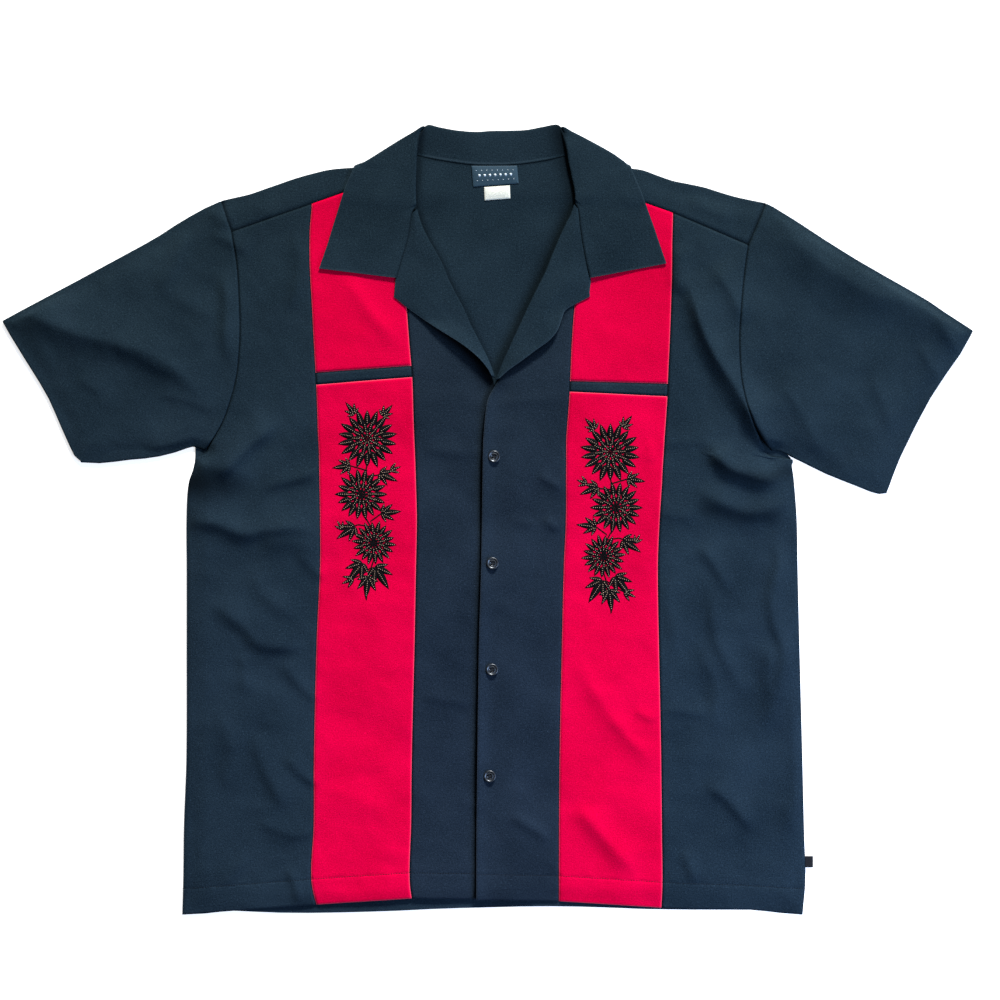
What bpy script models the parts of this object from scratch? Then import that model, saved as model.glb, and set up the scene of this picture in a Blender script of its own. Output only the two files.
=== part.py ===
"""A bowling shirt laid flat on a table, face up, collar towards +Y.

Every piece of cloth is its own closed wall. All plan sizes are in millimetres: x to the right and
y up the shirt, both from the middle of the shirt's outline, and z up from the table. Left and right
are as seen from above. The back lies on the table, the fronts and the upper sides of the sleeves lie
on the back, and one height function, upper_lay, carries the folds through all of them.
"""

import math
from collections import namedtuple

import bmesh
import bpy

MM = 0.001

# ---------------------------------------------------------------- driving dimensions
CLOTH = 1.2
SEAM = 0.3
LAYER = 0.6
PUFF = 1.5
PUFF_WIDTH = 28.0
FOLD_RADIUS = (2 * CLOTH + LAYER) / 2

NECK_X = 4.7
COLLAR_LIFT = CLOTH + SEAM
LIFT_RISE = (318.0, 345.0)
LIFT_HALF_WIDTH = (150.0, 178.0)
CALM_CENTRE = (5.0, 330.0)
CALM_RADIUS = (130.0, 230.0)
CALM_SHARE = 0.25

LAP_START = 55.0
LAP_FULL = 24.0
LAP_RISE = CLOTH + SEAM

SLOPE_STEP = 2.0
FOLD_TAPER = 0.3
CORNER_SHARE = 0.45
UNDERARM_TOP = 80.0

BUTTON_DIAMETER = 12.7
BUTTON_THICKNESS = 2.6
BUTTON_RIM = 1.3
BUTTON_RIM_EDGE = 0.4
BUTTON_DISH = 0.7
BUTTON_DISH_SLOPE = 0.5
BUTTON_FOOT = 1.2
BUTTON_FOOT_RISE = 1.0
BUTTON_SEGMENTS = 24
BUTTON_HOLE = 1.8
BUTTON_HOLE_PITCH = 3.2
BUTTON_HOLE_SEGMENTS = 8

# ---------------------------------------------------------------- tables
# The long seams of each half-front at each height: side seam with armhole, outer and inner seam of
# the red strip, and front edge (above the top button it runs just under the lapel's roll).
Section = namedtuple("Section", "y side outer inner edge")
LEFT_SECTIONS = [
    Section(-415.0, -320.8, -177.5, -77.0, 15.7),
    Section(-378.0, -319.8, -185.2, -82.0, 15.8),
    Section(-320.0, -319.0, -182.8, -80.5, 16.1),
    Section(-250.0, -316.5, -182.6, -79.8, 16.6),
    Section(-130.0, -316.2, -179.7, -76.8, 17.4),
    Section(-50.0, -316.2, -176.2, -75.4, 18.0),
    Section(0.0, -316.4, -176.1, -74.5, 18.4),
    Section(37.0, -314.4, -176.8, -75.4, 18.7),
    Section(71.5, -297.0, -177.4, -76.6, 18.9),
    Section(90.0, -284.0, -178.4, -77.4, 17.0),
    Section(108.0, -275.6, -179.0, -78.0, 13.5),
    Section(146.0, -264.6, -180.4, -79.2, 5.0),
    Section(185.0, -260.4, -182.6, -82.4, -12.2),
    Section(220.0, -260.4, -184.4, -85.0, -29.2),
    Section(264.0, -263.1, -186.8, -87.6, -50.6),
    Section(301.4, -268.8, -187.0, -89.4, -70.0),
    Section(328.0, -274.0, -185.0, -90.4, -80.0),
    Section(366.0, -280.0, -184.0, -91.4, -82.8),
]
RIGHT_SECTIONS = [
    Section(-415.0, 330.2, 181.8, 74.3, -12.3),
    Section(-378.0, 333.2, 183.0, 74.3, -12.2),
    Section(-330.0, 331.9, 182.4, 74.3, -12.0),
    Section(-250.0, 330.0, 181.6, 74.9, -11.1),
    Section(-130.0, 326.9, 179.2, 77.4, -9.4),
    Section(-50.0, 325.0, 178.1, 79.4, -7.2),
    Section(0.0, 324.1, 180.0, 81.6, -6.3),
    Section(37.0, 321.4, 182.4, 81.7, -5.8),
    Section(67.0, 304.0, 184.2, 81.8, -5.3),
    Section(84.0, 284.6, 185.2, 81.9, -4.8),
    Section(112.0, 273.2, 187.2, 84.0, -2.4),
    Section(128.0, 268.8, 188.2, 85.2, 1.0),
    Section(150.0, 265.0, 188.9, 86.2, 13.4),
    Section(192.0, 263.6, 190.8, 88.2, 32.0),
    Section(244.0, 267.3, 192.6, 92.4, 57.0),
    Section(287.7, 273.0, 193.3, 96.2, 76.0),
    Section(328.0, 281.0, 194.4, 99.6, 95.2),
    Section(366.0, 288.0, 195.4, 102.8, 93.6),
]

# Where the cross seams meet those long seams: hem, both sides of the pocket welt, and yoke seam.
CrossSeam = namedtuple("CrossSeam", "side outer inner edge")
LEFT_CROSS = {
    "hem": CrossSeam(-414.8, -404.2, -397.6, -399.0),
    "welt_low": CrossSeam(136.0, 141.0, 149.1, 150.0),
    "welt_high": CrossSeam(148.0, 153.3, 160.7, 162.0),
    "yoke": CrossSeam(301.4, 330.8, 363.3, 365.4),
}
RIGHT_CROSS = {
    "hem": CrossSeam(-414.8, -407.6, -400.8, -399.0),
    "welt_low": CrossSeam(124.0, 128.8, 133.7, 137.0),
    "welt_high": CrossSeam(136.0, 141.8, 144.5, 148.0),
    "yoke": CrossSeam(287.7, 321.3, 353.9, 356.0),
}
UNDERARM_SHARE = 0.88
ROWS_BELOW_ARM = 18
ROWS_ARM_TO_WELT = 4
ROWS_ABOVE_WELT = 9
SIDE_COLUMNS = 8
STRIP_COLUMNS = 5
CENTRE_COLUMNS = 5
FLAP_COLUMNS = (5, 4, 1)
FLAP_ROWS = 3

# The fold of the back over each shoulder, from the armhole to the neck.
LEFT_SHOULDER = [(-279.3, 332.9), (-253.1, 339.6), (-218.4, 350.7), (-201.0, 357.0), (-183.8, 362.2),
                 (-165.9, 366.2), (-141.8, 368.1), (-133.0, 368.9), (-122.0, 371.5), (-106.0, 377.0),
                 (-83.0, 384.8)]
RIGHT_SHOULDER = [(290.9, 330.8), (252.0, 338.1), (226.8, 347.0), (207.9, 351.8), (194.2, 354.9),
                  (176.4, 361.2), (162.8, 366.0), (149.1, 367.8), (141.0, 368.6), (130.0, 371.5),
                  (112.0, 377.5), (92.2, 384.8)]

# The back's hem shows below the fronts.
BACK_HEM = [(-320.8, -415.2), (-263.0, -411.4), (-166.0, -412.9), (-103.0, -411.8), (-14.0, -408.2),
            (54.0, -406.0), (107.0, -405.6), (182.0, -408.6), (330.2, -415.0)]

# Armholes of the back, under the fronts' own: x at each height, from the shoulder down to the underarm.
LEFT_BACK_ARMHOLE = [(332.9, -279.3), (303.0, -275.0), (270.0, -271.0), (230.0, -268.8), (188.0, -269.3),
                     (146.0, -273.0), (109.0, -281.5), (83.0, -293.0), (71.5, -302.0)]
RIGHT_BACK_ARMHOLE = [(330.8, 290.9), (303.0, 284.0), (265.0, 278.0), (225.0, 273.6), (185.0, 273.0),
                      (146.0, 276.0), (109.0, 285.0), (83.0, 298.5), (67.0, 309.0)]
BACK_ROWS_DOWN = [0.0, 4.0, 8.0, 12.0, 17.0, 24.0, 34.0, 48.0, 70.0, 100.0, 140.0, 185.0, 225.0, 261.4]
BACK_ROWS_BODY = 5

# Sleeves: top fold, cuff and under edge in plan, from the armhole outwards.
LEFT_SLEEVE = {
    "top": [(-279.3, 332.9), (-294.0, 326.4), (-343.9, 296.3), (-432.6, 249.2), (-509.7, 207.9)],
    "cuff": [(-509.7, 207.9), (-471.5, 149.1), (-457.8, 119.2), (-437.2, 71.4), (-427.4, 60.6)],
    "under": [(-303.0, 73.0), (-312.0, 76.0), (-330.2, 70.4), (-352.8, 64.6), (-380.1, 61.4),
              (-414.8, 59.3), (-427.4, 60.6)],
}
RIGHT_SLEEVE = {
    "top": [(290.9, 330.8), (298.2, 328.4), (333.9, 305.8), (381.2, 276.4), (427.9, 249.2),
            (474.6, 221.6), (509.2, 197.6)],
    "cuff": [(509.2, 197.6), (482.0, 156.5), (458.9, 119.7), (440.0, 79.8), (425.2, 49.4), (414.8, 26.4)],
    "under": [(308.5, 68.5), (318.2, 66.2), (343.4, 55.0), (369.6, 43.1), (397.4, 31.5), (414.8, 26.4)],
}
SLEEVE_ROWS = 9
EDGE_STEPS = 4

# Lapels: the roll line and the free edge of each section from the gorge down, and the leaf's lift.
Revers = namedtuple("Revers", "roll_x roll_y edge_x edge_y lift")
LEFT_REVERS = [
    Revers(-74.6, 324.6, -77.6, 319.6, 2.6),
    Revers(-70.4, 310.3, -80.4, 303.0, 2.6),
    Revers(-64.5, 297.0, -84.4, 286.0, 2.6),
    Revers(-56.0, 282.0, -90.4, 267.0, 2.6),
    Revers(-48.3, 267.8, -95.4, 251.6, 2.8),
    Revers(-42.0, 252.0, -98.7, 233.1, 3.2),
    Revers(-35.0, 238.0, -85.0, 221.6, 4.5),
    Revers(-26.2, 221.6, -69.3, 209.2, 6.5),
    Revers(-18.0, 203.0, -54.6, 198.5, 8.0),
    Revers(-11.0, 189.5, -39.9, 189.2, 8.5),
    Revers(-4.2, 176.5, -25.2, 180.4, 7.5),
    Revers(2.0, 163.0, -10.5, 170.1, 5.5),
    Revers(5.6, 155.0, -1.6, 161.6, 3.5),
]
RIGHT_REVERS = [
    Revers(90.4, 329.6, 93.2, 323.0, 2.6),
    Revers(86.6, 319.0, 94.6, 309.0, 2.6),
    Revers(82.0, 310.0, 96.6, 295.0, 2.6),
    Revers(76.0, 297.5, 99.8, 279.0, 2.6),
    Revers(66.5, 275.0, 105.0, 253.0, 2.8),
    Revers(59.4, 257.2, 106.1, 234.2, 2.2),
    Revers(52.0, 243.0, 89.2, 224.7, 2.8),
    Revers(46.2, 231.0, 80.2, 219.0, 4.5),
    Revers(39.0, 216.0, 77.1, 208.6, 6.5),
    Revers(32.6, 201.6, 72.5, 196.8, 8.0),
    Revers(27.0, 190.0, 64.0, 186.9, 8.5),
    Revers(21.0, 176.4, 50.4, 176.9, 8.0),
    Revers(15.6, 165.0, 35.7, 165.9, 7.0),
    Revers(11.5, 155.0, 21.0, 155.4, 5.5),
    Revers(8.2, 146.0, 12.6, 147.6, 4.0),
]
ROLL_GAP = 3.8
LIP_GAP = 0.9
LEAF_CROWN = 0.8

# Collar, section by section from the front end of one leaf round the back of the neck to the other.
# seam: where it is sewn; roll and gap: the turn between stand and fall; edge: the free edge;
# wrap: 0 with the fall on top, 1 with the fall under the stand; over: share of the line along
# which the fall goes over the shoulder, from its outer to its inner end, or None.
Collar = namedtuple("Collar", "seam_x seam_y seam_z roll_x roll_y roll_z gap edge_x edge_y edge_z wrap over")
COLLAR_LEFT = [
    Collar(-95.9, 252.6, 6.2, -95.9, 252.6, 6.2, 0.0, -176.9, 262.5, 5.6, 0.0, None),
    Collar(-89.3, 274.8, 6.2, -89.3, 274.8, 6.2, 0.0, -169.0, 285.5, 5.0, 0.0, None),
    Collar(-83.1, 296.6, 6.2, -83.1, 296.6, 6.2, 0.0, -162.8, 306.0, 4.7, 0.0, None),
    Collar(-79.4, 320.8, 6.2, -79.4, 320.8, 6.2, 0.0, -156.5, 326.0, 4.9, 0.0, None),
    Collar(-75.8, 327.4, 4.8, -76.2, 329.4, 5.2, 1.6, -154.0, 334.0, 5.6, 0.0, None),
    Collar(-79.0, 329.6, 3.1, -75.9, 333.0, 5.2, 3.6, -151.5, 342.0, 6.0, 0.0, None),
    Collar(-80.6, 343.4, 4.0, -76.1, 345.0, 6.1, 4.0, -147.6, 352.4, 6.0, 0.0, None),
    Collar(-81.7, 356.0, 4.1, -75.9, 358.0, 6.3, 4.0, -141.6, 366.0, 6.0, 0.0, None),
    Collar(-82.0, 362.0, 4.1, -75.6, 364.0, 6.3, 4.0, -139.8, 370.2, 5.6, 0.0, None),
    Collar(-82.1, 366.0, 4.1, -75.4, 368.0, 6.3, 4.0, -136.4, 372.0, 3.4, 0.0, 0.06),
    Collar(-82.1, 369.0, 4.1, -75.1, 371.5, 6.3, 4.0, -131.0, 373.6, 0.6, 0.0, 0.13),
    Collar(-82.2, 372.0, 4.1, -74.8, 375.0, 6.3, 4.0, -122.0, 364.5, 0.6, 0.1, 0.28),
    Collar(-81.9, 383.9, 3.3, -72.6, 389.6, 6.0, 3.8, -99.0, 360.0, 0.6, 0.35, 0.6),
    Collar(-75.5, 381.8, 2.4, -68.9, 401.1, 4.4, 3.6, -82.0, 358.0, 0.6, 0.7, 0.87),
    Collar(-67.2, 379.8, 2.1, -63.6, 412.6, 2.4, 3.6, -64.0, 358.0, 0.6, 1.0, None),
    Collar(-53.6, 377.3, 2.1, -52.2, 410.4, 2.4, 3.6, -51.0, 356.0, 0.6, 1.0, None),
    Collar(-34.7, 374.3, 2.1, -32.6, 406.8, 2.4, 3.6, -32.0, 354.0, 0.6, 1.0, None),
    Collar(-15.8, 372.0, 2.1, -12.1, 405.3, 2.4, 3.6, -13.0, 352.8, 0.6, 1.0, None),
    Collar(2.1, 371.5, 2.1, 4.2, 407.0, 2.4, 3.6, 4.0, 352.8, 0.6, 1.0, None),
]
COLLAR_RIGHT = [
    Collar(107.0, 252.6, 6.2, 107.0, 252.6, 6.2, 0.0, 186.9, 267.8, 5.6, 0.0, None),
    Collar(101.2, 279.6, 6.2, 101.2, 279.6, 6.2, 0.0, 180.0, 288.0, 5.0, 0.0, None),
    Collar(97.2, 303.4, 6.2, 97.2, 303.4, 6.2, 0.0, 174.0, 306.0, 4.7, 0.0, None),
    Collar(94.8, 324.0, 6.2, 94.8, 324.0, 6.2, 0.0, 167.5, 324.0, 4.9, 0.0, None),
    Collar(91.6, 332.2, 4.8, 92.0, 334.2, 5.2, 1.6, 164.5, 332.5, 5.6, 0.0, None),
    Collar(94.4, 334.6, 3.3, 91.6, 338.0, 5.4, 3.6, 161.8, 340.0, 6.0, 0.0, None),
    Collar(93.2, 345.5, 4.0, 90.4, 347.5, 6.1, 4.0, 157.5, 350.5, 6.0, 0.0, None),
    Collar(92.6, 356.0, 4.1, 87.9, 358.0, 6.3, 4.0, 151.0, 365.6, 6.0, 0.0, None),
    Collar(92.4, 362.0, 4.1, 86.8, 364.0, 6.3, 4.0, 149.2, 370.2, 5.6, 0.0, None),
    Collar(92.3, 366.0, 4.1, 85.9, 368.0, 6.3, 4.0, 146.0, 372.0, 3.4, 0.0, 0.06),
    Collar(92.2, 369.0, 4.1, 85.0, 371.5, 6.3, 4.0, 140.6, 373.6, 0.6, 0.0, 0.13),
    Collar(92.0, 372.0, 4.1, 84.2, 375.0, 6.3, 4.0, 132.0, 364.5, 0.6, 0.1, 0.28),
    Collar(91.1, 383.9, 3.3, 81.2, 389.6, 6.0, 3.8, 109.0, 360.0, 0.6, 0.35, 0.6),
    Collar(85.0, 381.8, 2.4, 77.8, 401.1, 4.4, 3.6, 92.0, 358.0, 0.6, 0.7, 0.87),
    Collar(77.0, 379.8, 2.1, 74.2, 412.4, 2.4, 3.6, 74.5, 358.0, 0.6, 1.0, None),
    Collar(62.0, 376.8, 2.1, 57.8, 410.4, 2.4, 3.6, 60.0, 356.0, 0.6, 1.0, None),
    Collar(43.0, 373.8, 2.1, 40.0, 408.0, 2.4, 3.6, 42.0, 354.0, 0.6, 1.0, None),
    Collar(22.0, 371.7, 2.1, 21.0, 407.4, 2.4, 3.6, 22.0, 353.0, 0.6, 1.0, None),
]
OVER_LEFT = ((-139.0, 369.4), (-64.0, 413.4))
OVER_RIGHT = ((148.6, 369.4), (74.5, 412.7))
OVER_BROW = 5.9
COLLAR_CORNER = 2.2
FALL_ON_TOP = (0.45, 0.85)
FALL_BENEATH = (0.10, 0.20)
LEAF_TURN = (0.05, 0.12)
BACK_NECK_FROM = 13

# The largest folds: a line from one end to the other, bowed sideways at its middle, the half-width
# of its soft cross-section, and its rise (a trough is below zero).
Fold = namedtuple("Fold", "x1 y1 x2 y2 bow width rise")
FOLDS = [
    Fold(-486.0, 200.5, -298.0, 108.0, 15.0, 15.0, -1.4),
    Fold(-440.0, 214.0, -315.0, 160.0, 8.0, 14.0, 1.4),
    Fold(-352.0, 129.0, -298.0, 115.0, 0.0, 8.0, -1.0),
    Fold(-278.0, 48.0, -211.0, 102.0, -5.0, 10.0, -1.1),
    Fold(-316.0, -8.0, -178.0, -22.0, -6.0, 10.0, -1.3),
    Fold(-312.0, 14.0, -190.0, 2.0, 4.0, 13.0, 1.1),
    Fold(-284.0, -110.0, -190.0, -138.0, -6.0, 10.0, -1.0),
    Fold(-254.0, -242.0, -200.0, -326.0, 4.0, 10.0, -1.0),
    Fold(-168.0, 246.0, -103.0, 181.0, 3.0, 10.0, -1.1),
    Fold(93.0, -146.0, 179.0, -267.0, 5.0, 13.0, -1.4),
    Fold(93.0, -292.0, 153.0, -372.0, -3.0, 12.0, -1.3),
    Fold(24.0, -313.0, 65.0, -341.0, -3.0, 8.0, -1.0),
    Fold(195.0, 239.0, 279.0, 79.0, -8.0, 9.0, -1.5),
    Fold(212.0, 236.0, 262.0, 118.0, 0.0, 13.0, 1.2),
    Fold(223.0, 269.0, 259.0, 209.0, 0.0, 9.0, -1.2),
    Fold(234.0, 68.0, 304.0, 40.0, -18.0, 8.0, -1.8),
    Fold(228.0, 86.0, 300.0, 62.0, -14.0, 13.0, 1.8),
    Fold(215.0, 14.0, 318.0, 8.0, -8.0, 12.0, -1.4),
    Fold(276.0, -64.0, 306.0, -154.0, 4.0, 11.0, -1.3),
    Fold(229.0, -95.0, 259.0, -174.0, -3.0, 8.0, -1.0),
    Fold(308.0, -175.0, 305.0, -321.0, -4.0, 12.0, -1.3),
    Fold(232.0, -288.0, 266.0, -326.0, 0.0, 8.0, -1.0),
    Fold(287.0, 316.0, 493.0, 175.0, 0.0, 14.0, -1.4),
    Fold(397.0, 145.0, 420.0, 102.0, 0.0, 9.0, -0.9),
]

BUTTON_PLACES = [(6.3, 65.5), (4.8, -46.2), (4.2, -157.5), (1.8, -269.2)]
NECK_LABEL = [(-17.4, 370.4), (30.5, 370.6), (32.1, 352.0), (-15.4, 348.6)]
CARE_LABEL = [(-4.0, 348.0), (22.9, 349.9), (23.4, 336.2), (-3.4, 334.2)]
LABEL_CLOTH = 1.0
LABEL_STEPS = 4
TAB_ROOT_X = 333.0
TAB_MIDDLE_Y = -359.6
TAB_WIDTH = 11.6
TAB_REACH = 8.2
TAB_CLOTH = 1.0
TAB_GAP = 0.5
TAB_TURN_STEPS = 6

# ---------------------------------------------------------------- finishes
Finish = namedtuple("Finish", "colour roughness metallic")
NAVY_CLOTH = Finish((0.014, 0.028, 0.046), 0.85, 0.0)
RED_CLOTH = Finish((0.75, 0.004, 0.050), 0.80, 0.0)
BUTTON_RESIN = Finish((0.012, 0.016, 0.022), 0.25, 0.0)
LABEL_WEAVE = Finish((0.016, 0.020, 0.040), 0.60, 0.0)
CARE_SATIN = Finish((0.80, 0.80, 0.78), 0.50, 0.0)
TAB_WEAVE = Finish((0.010, 0.010, 0.012), 0.60, 0.0)


def clear_scene():
    for obj in list(bpy.data.objects):
        bpy.data.objects.remove(obj, do_unlink=True)


def finish_material(name, finish):
    material = bpy.data.materials.new(name)
    material.use_nodes = True
    shader = material.node_tree.nodes["Principled BSDF"]
    shader.inputs["Base Color"].default_value = (*finish.colour, 1.0)
    shader.inputs["Roughness"].default_value = finish.roughness
    shader.inputs["Metallic"].default_value = finish.metallic
    return material


# ---------------------------------------------------------------- plan geometry
def mix(a, b, share):
    return a + (b - a) * share


def mix_point(p, q, share):
    return tuple(mix(a, b, share) for a, b in zip(p, q))


def soft_step(low, high, value):
    share = min(1.0, max(0.0, (value - low) / (high - low)))
    return share * share * (3.0 - 2.0 * share)


def read_curve(rows, at):
    """A smooth curve through rows of (where, value), read at one place."""
    rows = sorted(rows)
    at = min(rows[-1][0], max(rows[0][0], at))
    k = 0
    while k < len(rows) - 2 and at > rows[k + 1][0]:
        k += 1
    before = rows[max(0, k - 1)]
    after = rows[min(len(rows) - 1, k + 2)]
    (x0, v0), (x1, v1) = rows[k], rows[k + 1]
    slope0 = (v1 - before[1]) / (x1 - before[0])
    slope1 = (after[1] - v0) / (after[0] - x0)
    span = x1 - x0
    s = (at - x0) / span
    return (v0 * (1 + 2 * s) * (1 - s) ** 2 + slope0 * span * s * (1 - s) ** 2
            + v1 * s * s * (3 - 2 * s) + slope1 * span * s * s * (s - 1))


def straight_between(points, y):
    """Where a polyline that climbs from point to point crosses a height."""
    k = 0
    while k < len(points) - 2 and y > points[k + 1][1]:
        k += 1
    (x0, y0), (x1, y1) = points[k], points[k + 1]
    return mix(x0, x1, (y - y0) / (y1 - y0))


def lengths_along(points):
    run = [0.0]
    for p, q in zip(points, points[1:]):
        run.append(run[-1] + math.dist(p, q))
    return run


def walk(points, shares):
    """Points on a polyline at the given shares of its length."""
    run = lengths_along(points)
    found = []
    for share in shares:
        target = share * run[-1]
        k = 0
        while k < len(points) - 2 and target > run[k + 1]:
            k += 1
        found.append(mix_point(points[k], points[k + 1], (target - run[k]) / (run[k + 1] - run[k])))
    return found


def unit_sideways(points, k, lean):
    """The direction across a polyline at one of its points, to its left where lean is 1."""
    before = points[max(0, k - 1)]
    after = points[min(len(points) - 1, k + 1)]
    dx, dy = after[0] - before[0], after[1] - before[1]
    size = math.hypot(dx, dy)
    return (-dy / size * lean, dx / size * lean)


def sideways(points, distance):
    """A polyline moved to its left by a distance."""
    moved = []
    for k, (x, y) in enumerate(points):
        across = unit_sideways(points, k, distance)
        moved.append((x + across[0], y + across[1]))
    return moved


def patch_point(start, end, near, far, s, v, corners):
    """A point inside four edge points, blended from the edges and the corners."""
    point = []
    for axis in (0, 1):
        a, b, c, d = [corner[axis] for corner in corners]
        blend = mix(start[axis], end[axis], v) + mix(near[axis], far[axis], s)
        point.append(blend - mix(mix(a, b, s), mix(c, d, s), v))
    return tuple(point)


def outline_segments():
    """The outer edge of the shirt, against which the upper layer lies down."""
    runs = [LEFT_SHOULDER, LEFT_SLEEVE["top"], LEFT_SLEEVE["cuff"], LEFT_SLEEVE["under"],
            [(row.side, row.y) for row in LEFT_SECTIONS if row.y < UNDERARM_TOP],
            BACK_HEM,
            [(row.side, row.y) for row in RIGHT_SECTIONS if row.y < UNDERARM_TOP],
            RIGHT_SLEEVE["under"], RIGHT_SLEEVE["cuff"], RIGHT_SLEEVE["top"], RIGHT_SHOULDER]
    return [pair for run in runs for pair in zip(run, run[1:])]


OUTLINE = outline_segments()


def distance_to_segment(x, y, start, end):
    dx, dy = end[0] - start[0], end[1] - start[1]
    share = ((x - start[0]) * dx + (y - start[1]) * dy) / (dx * dx + dy * dy)
    share = min(1.0, max(0.0, share))
    return math.hypot(x - start[0] - share * dx, y - start[1] - share * dy)


def distance_to_outline(x, y):
    return min(distance_to_segment(x, y, start, end) for start, end in OUTLINE)


# ---------------------------------------------------------------- heights
def fold_height(fold, x, y):
    dx, dy = fold.x2 - fold.x1, fold.y2 - fold.y1
    length = math.hypot(dx, dy)
    share = ((x - fold.x1) * dx + (y - fold.y1) * dy) / length ** 2
    if share <= 0.0 or share >= 1.0:
        return 0.0
    across = ((y - fold.y1) * dx - (x - fold.x1) * dy) / length
    across -= 4.0 * fold.bow * share * (1.0 - share)
    taper = soft_step(0.0, FOLD_TAPER, min(share, 1.0 - share))
    return fold.rise * taper * math.exp(-(across / fold.width) ** 2)


def back_lift(x, y):
    """How far the back is held up by the collar's fall, which goes under it at the neck."""
    up = soft_step(*LIFT_RISE, y)
    across = soft_step(LIFT_HALF_WIDTH[1], LIFT_HALF_WIDTH[0], abs(x - NECK_X))
    return COLLAR_LIFT * up * across


def upper_lay(x, y):
    """Underside of the upper layer: the fronts, shoulder flaps and upper sides of the sleeves."""
    rest = back_lift(x, y) + CLOTH + LAYER
    inset = soft_step(0.0, PUFF_WIDTH, distance_to_outline(x, y))
    calm = soft_step(*CALM_RADIUS, math.hypot(x - CALM_CENTRE[0], y - CALM_CENTRE[1]))
    folds = sum(fold_height(fold, x, y) for fold in FOLDS)
    return rest + inset * mix(CALM_SHARE, 1.0, calm) * max(0.0, PUFF + folds)


def lap_rise(x, y):
    """The right front's rise over the hidden edge of the left front."""
    return LAP_RISE * soft_step(LAP_START, LAP_FULL, x)


def steep(height, x, y):
    """How much thicker, measured upright, a wall is where its surface slopes."""
    dx = (height(x + SLOPE_STEP, y) - height(x - SLOPE_STEP, y)) / (2 * SLOPE_STEP)
    dy = (height(x, y + SLOPE_STEP) - height(x, y - SLOPE_STEP)) / (2 * SLOPE_STEP)
    return math.sqrt(1.0 + dx * dx + dy * dy)


def upper_pair(x, y, raised=None):
    """Outer and inner point of the upper layer above a plan point."""
    low = upper_lay(x, y)
    if raised:
        low += raised(x, y)
    return (x, y, low + CLOTH * steep(upper_lay, x, y)), (x, y, low)


def under_pair(x, y):
    """Outer and inner point of the layer on the table."""
    low = back_lift(x, y)
    return (x, y, low), (x, y, low + CLOTH)


# ---------------------------------------------------------------- solids
def make_object(name, mesh, finish):
    obj = bpy.data.objects.new(name, mesh)
    bpy.context.scene.collection.objects.link(obj)
    mesh.materials.append(finish_material(name + "_finish", finish))
    return obj


def wall(name, pairs, cells, finish):
    """A closed wall: pairs gives each key's outer and inner point, cells are four keys each."""
    bm = bmesh.new()
    outer = {key: bm.verts.new([c * MM for c in pair[0]]) for key, pair in pairs.items()}
    inner = {key: bm.verts.new([c * MM for c in pair[1]]) for key, pair in pairs.items()}
    sides = set()
    for cell in cells:
        bm.faces.new([outer[key] for key in cell])
        bm.faces.new([inner[key] for key in reversed(cell)])
        sides.update(zip(cell, cell[1:] + cell[:1]))
    for a, b in sides:
        if (b, a) not in sides:
            bm.faces.new([outer[b], outer[a], inner[a], inner[b]])
    bmesh.ops.recalc_face_normals(bm, faces=bm.faces)
    mesh = bpy.data.meshes.new(name)
    bm.to_mesh(mesh)
    bm.free()
    return make_object(name, mesh, finish)


def grid_cells(rows, columns, closed=False):
    cells = []
    for r in range(rows):
        for c in range(columns + (1 if closed else 0)):
            d = (c + 1) % (columns + 1)
            cells.append([(r, c), (r, d), (r + 1, d), (r + 1, c)])
    return cells


def sheet(name, grid, finish):
    """A closed wall with its thickness on both sides of a grid of points."""
    bm = bmesh.new()
    verts = [[bm.verts.new([c * MM for c in point]) for point in row] for row in grid]
    for low, high in zip(verts, verts[1:]):
        for k in range(len(low) - 1):
            bm.faces.new([low[k], low[k + 1], high[k + 1], high[k]])
    mesh = bpy.data.meshes.new(name)
    bm.to_mesh(mesh)
    bm.free()
    obj = make_object(name, mesh, finish)
    thick = obj.modifiers.new("thickness", "SOLIDIFY")
    thick.thickness = CLOTH * MM
    thick.offset = 0.0
    return obj


# ---------------------------------------------------------------- fronts
RAILS = ("side", "outer", "inner", "edge")


def row_shares():
    """Shares of the way from the hem to the pocket welt, with one row at the underarm."""
    low = [UNDERARM_SHARE * k / ROWS_BELOW_ARM for k in range(ROWS_BELOW_ARM)]
    high = [mix(UNDERARM_SHARE, 1.0, k / ROWS_ARM_TO_WELT) for k in range(ROWS_ARM_TO_WELT + 1)]
    return low + high


def rail_points(sections, cross, rail):
    """One long seam, a point for each row of the fronts' grid from the hem to the yoke seam."""
    hem, low = getattr(cross["hem"], rail), getattr(cross["welt_low"], rail)
    high, top = getattr(cross["welt_high"], rail), getattr(cross["yoke"], rail)
    heights = [mix(hem, low, share) for share in row_shares()]
    heights += [mix(high, top, k / ROWS_ABOVE_WELT) for k in range(ROWS_ABOVE_WELT + 1)]
    table = [(row.y, getattr(row, rail)) for row in sections]
    return [(read_curve(table, y), y) for y in heights]


def front_panel(name, near, far, first, last, columns, finish, ends=(0.0, 0.0), raised=None):
    """A panel between two long seams, from one row to another, parted from its neighbours."""
    pairs = {}
    for r in range(first, last + 1):
        shift = ends[0] if r == first else -ends[1] if r == last else 0.0
        for c in range(columns + 1):
            x, y = mix_point(near[r], far[r], c / columns)
            pairs[r - first, c] = upper_pair(x, y + shift, raised)
    wall(name, pairs, grid_cells(last - first, columns), finish)


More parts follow.
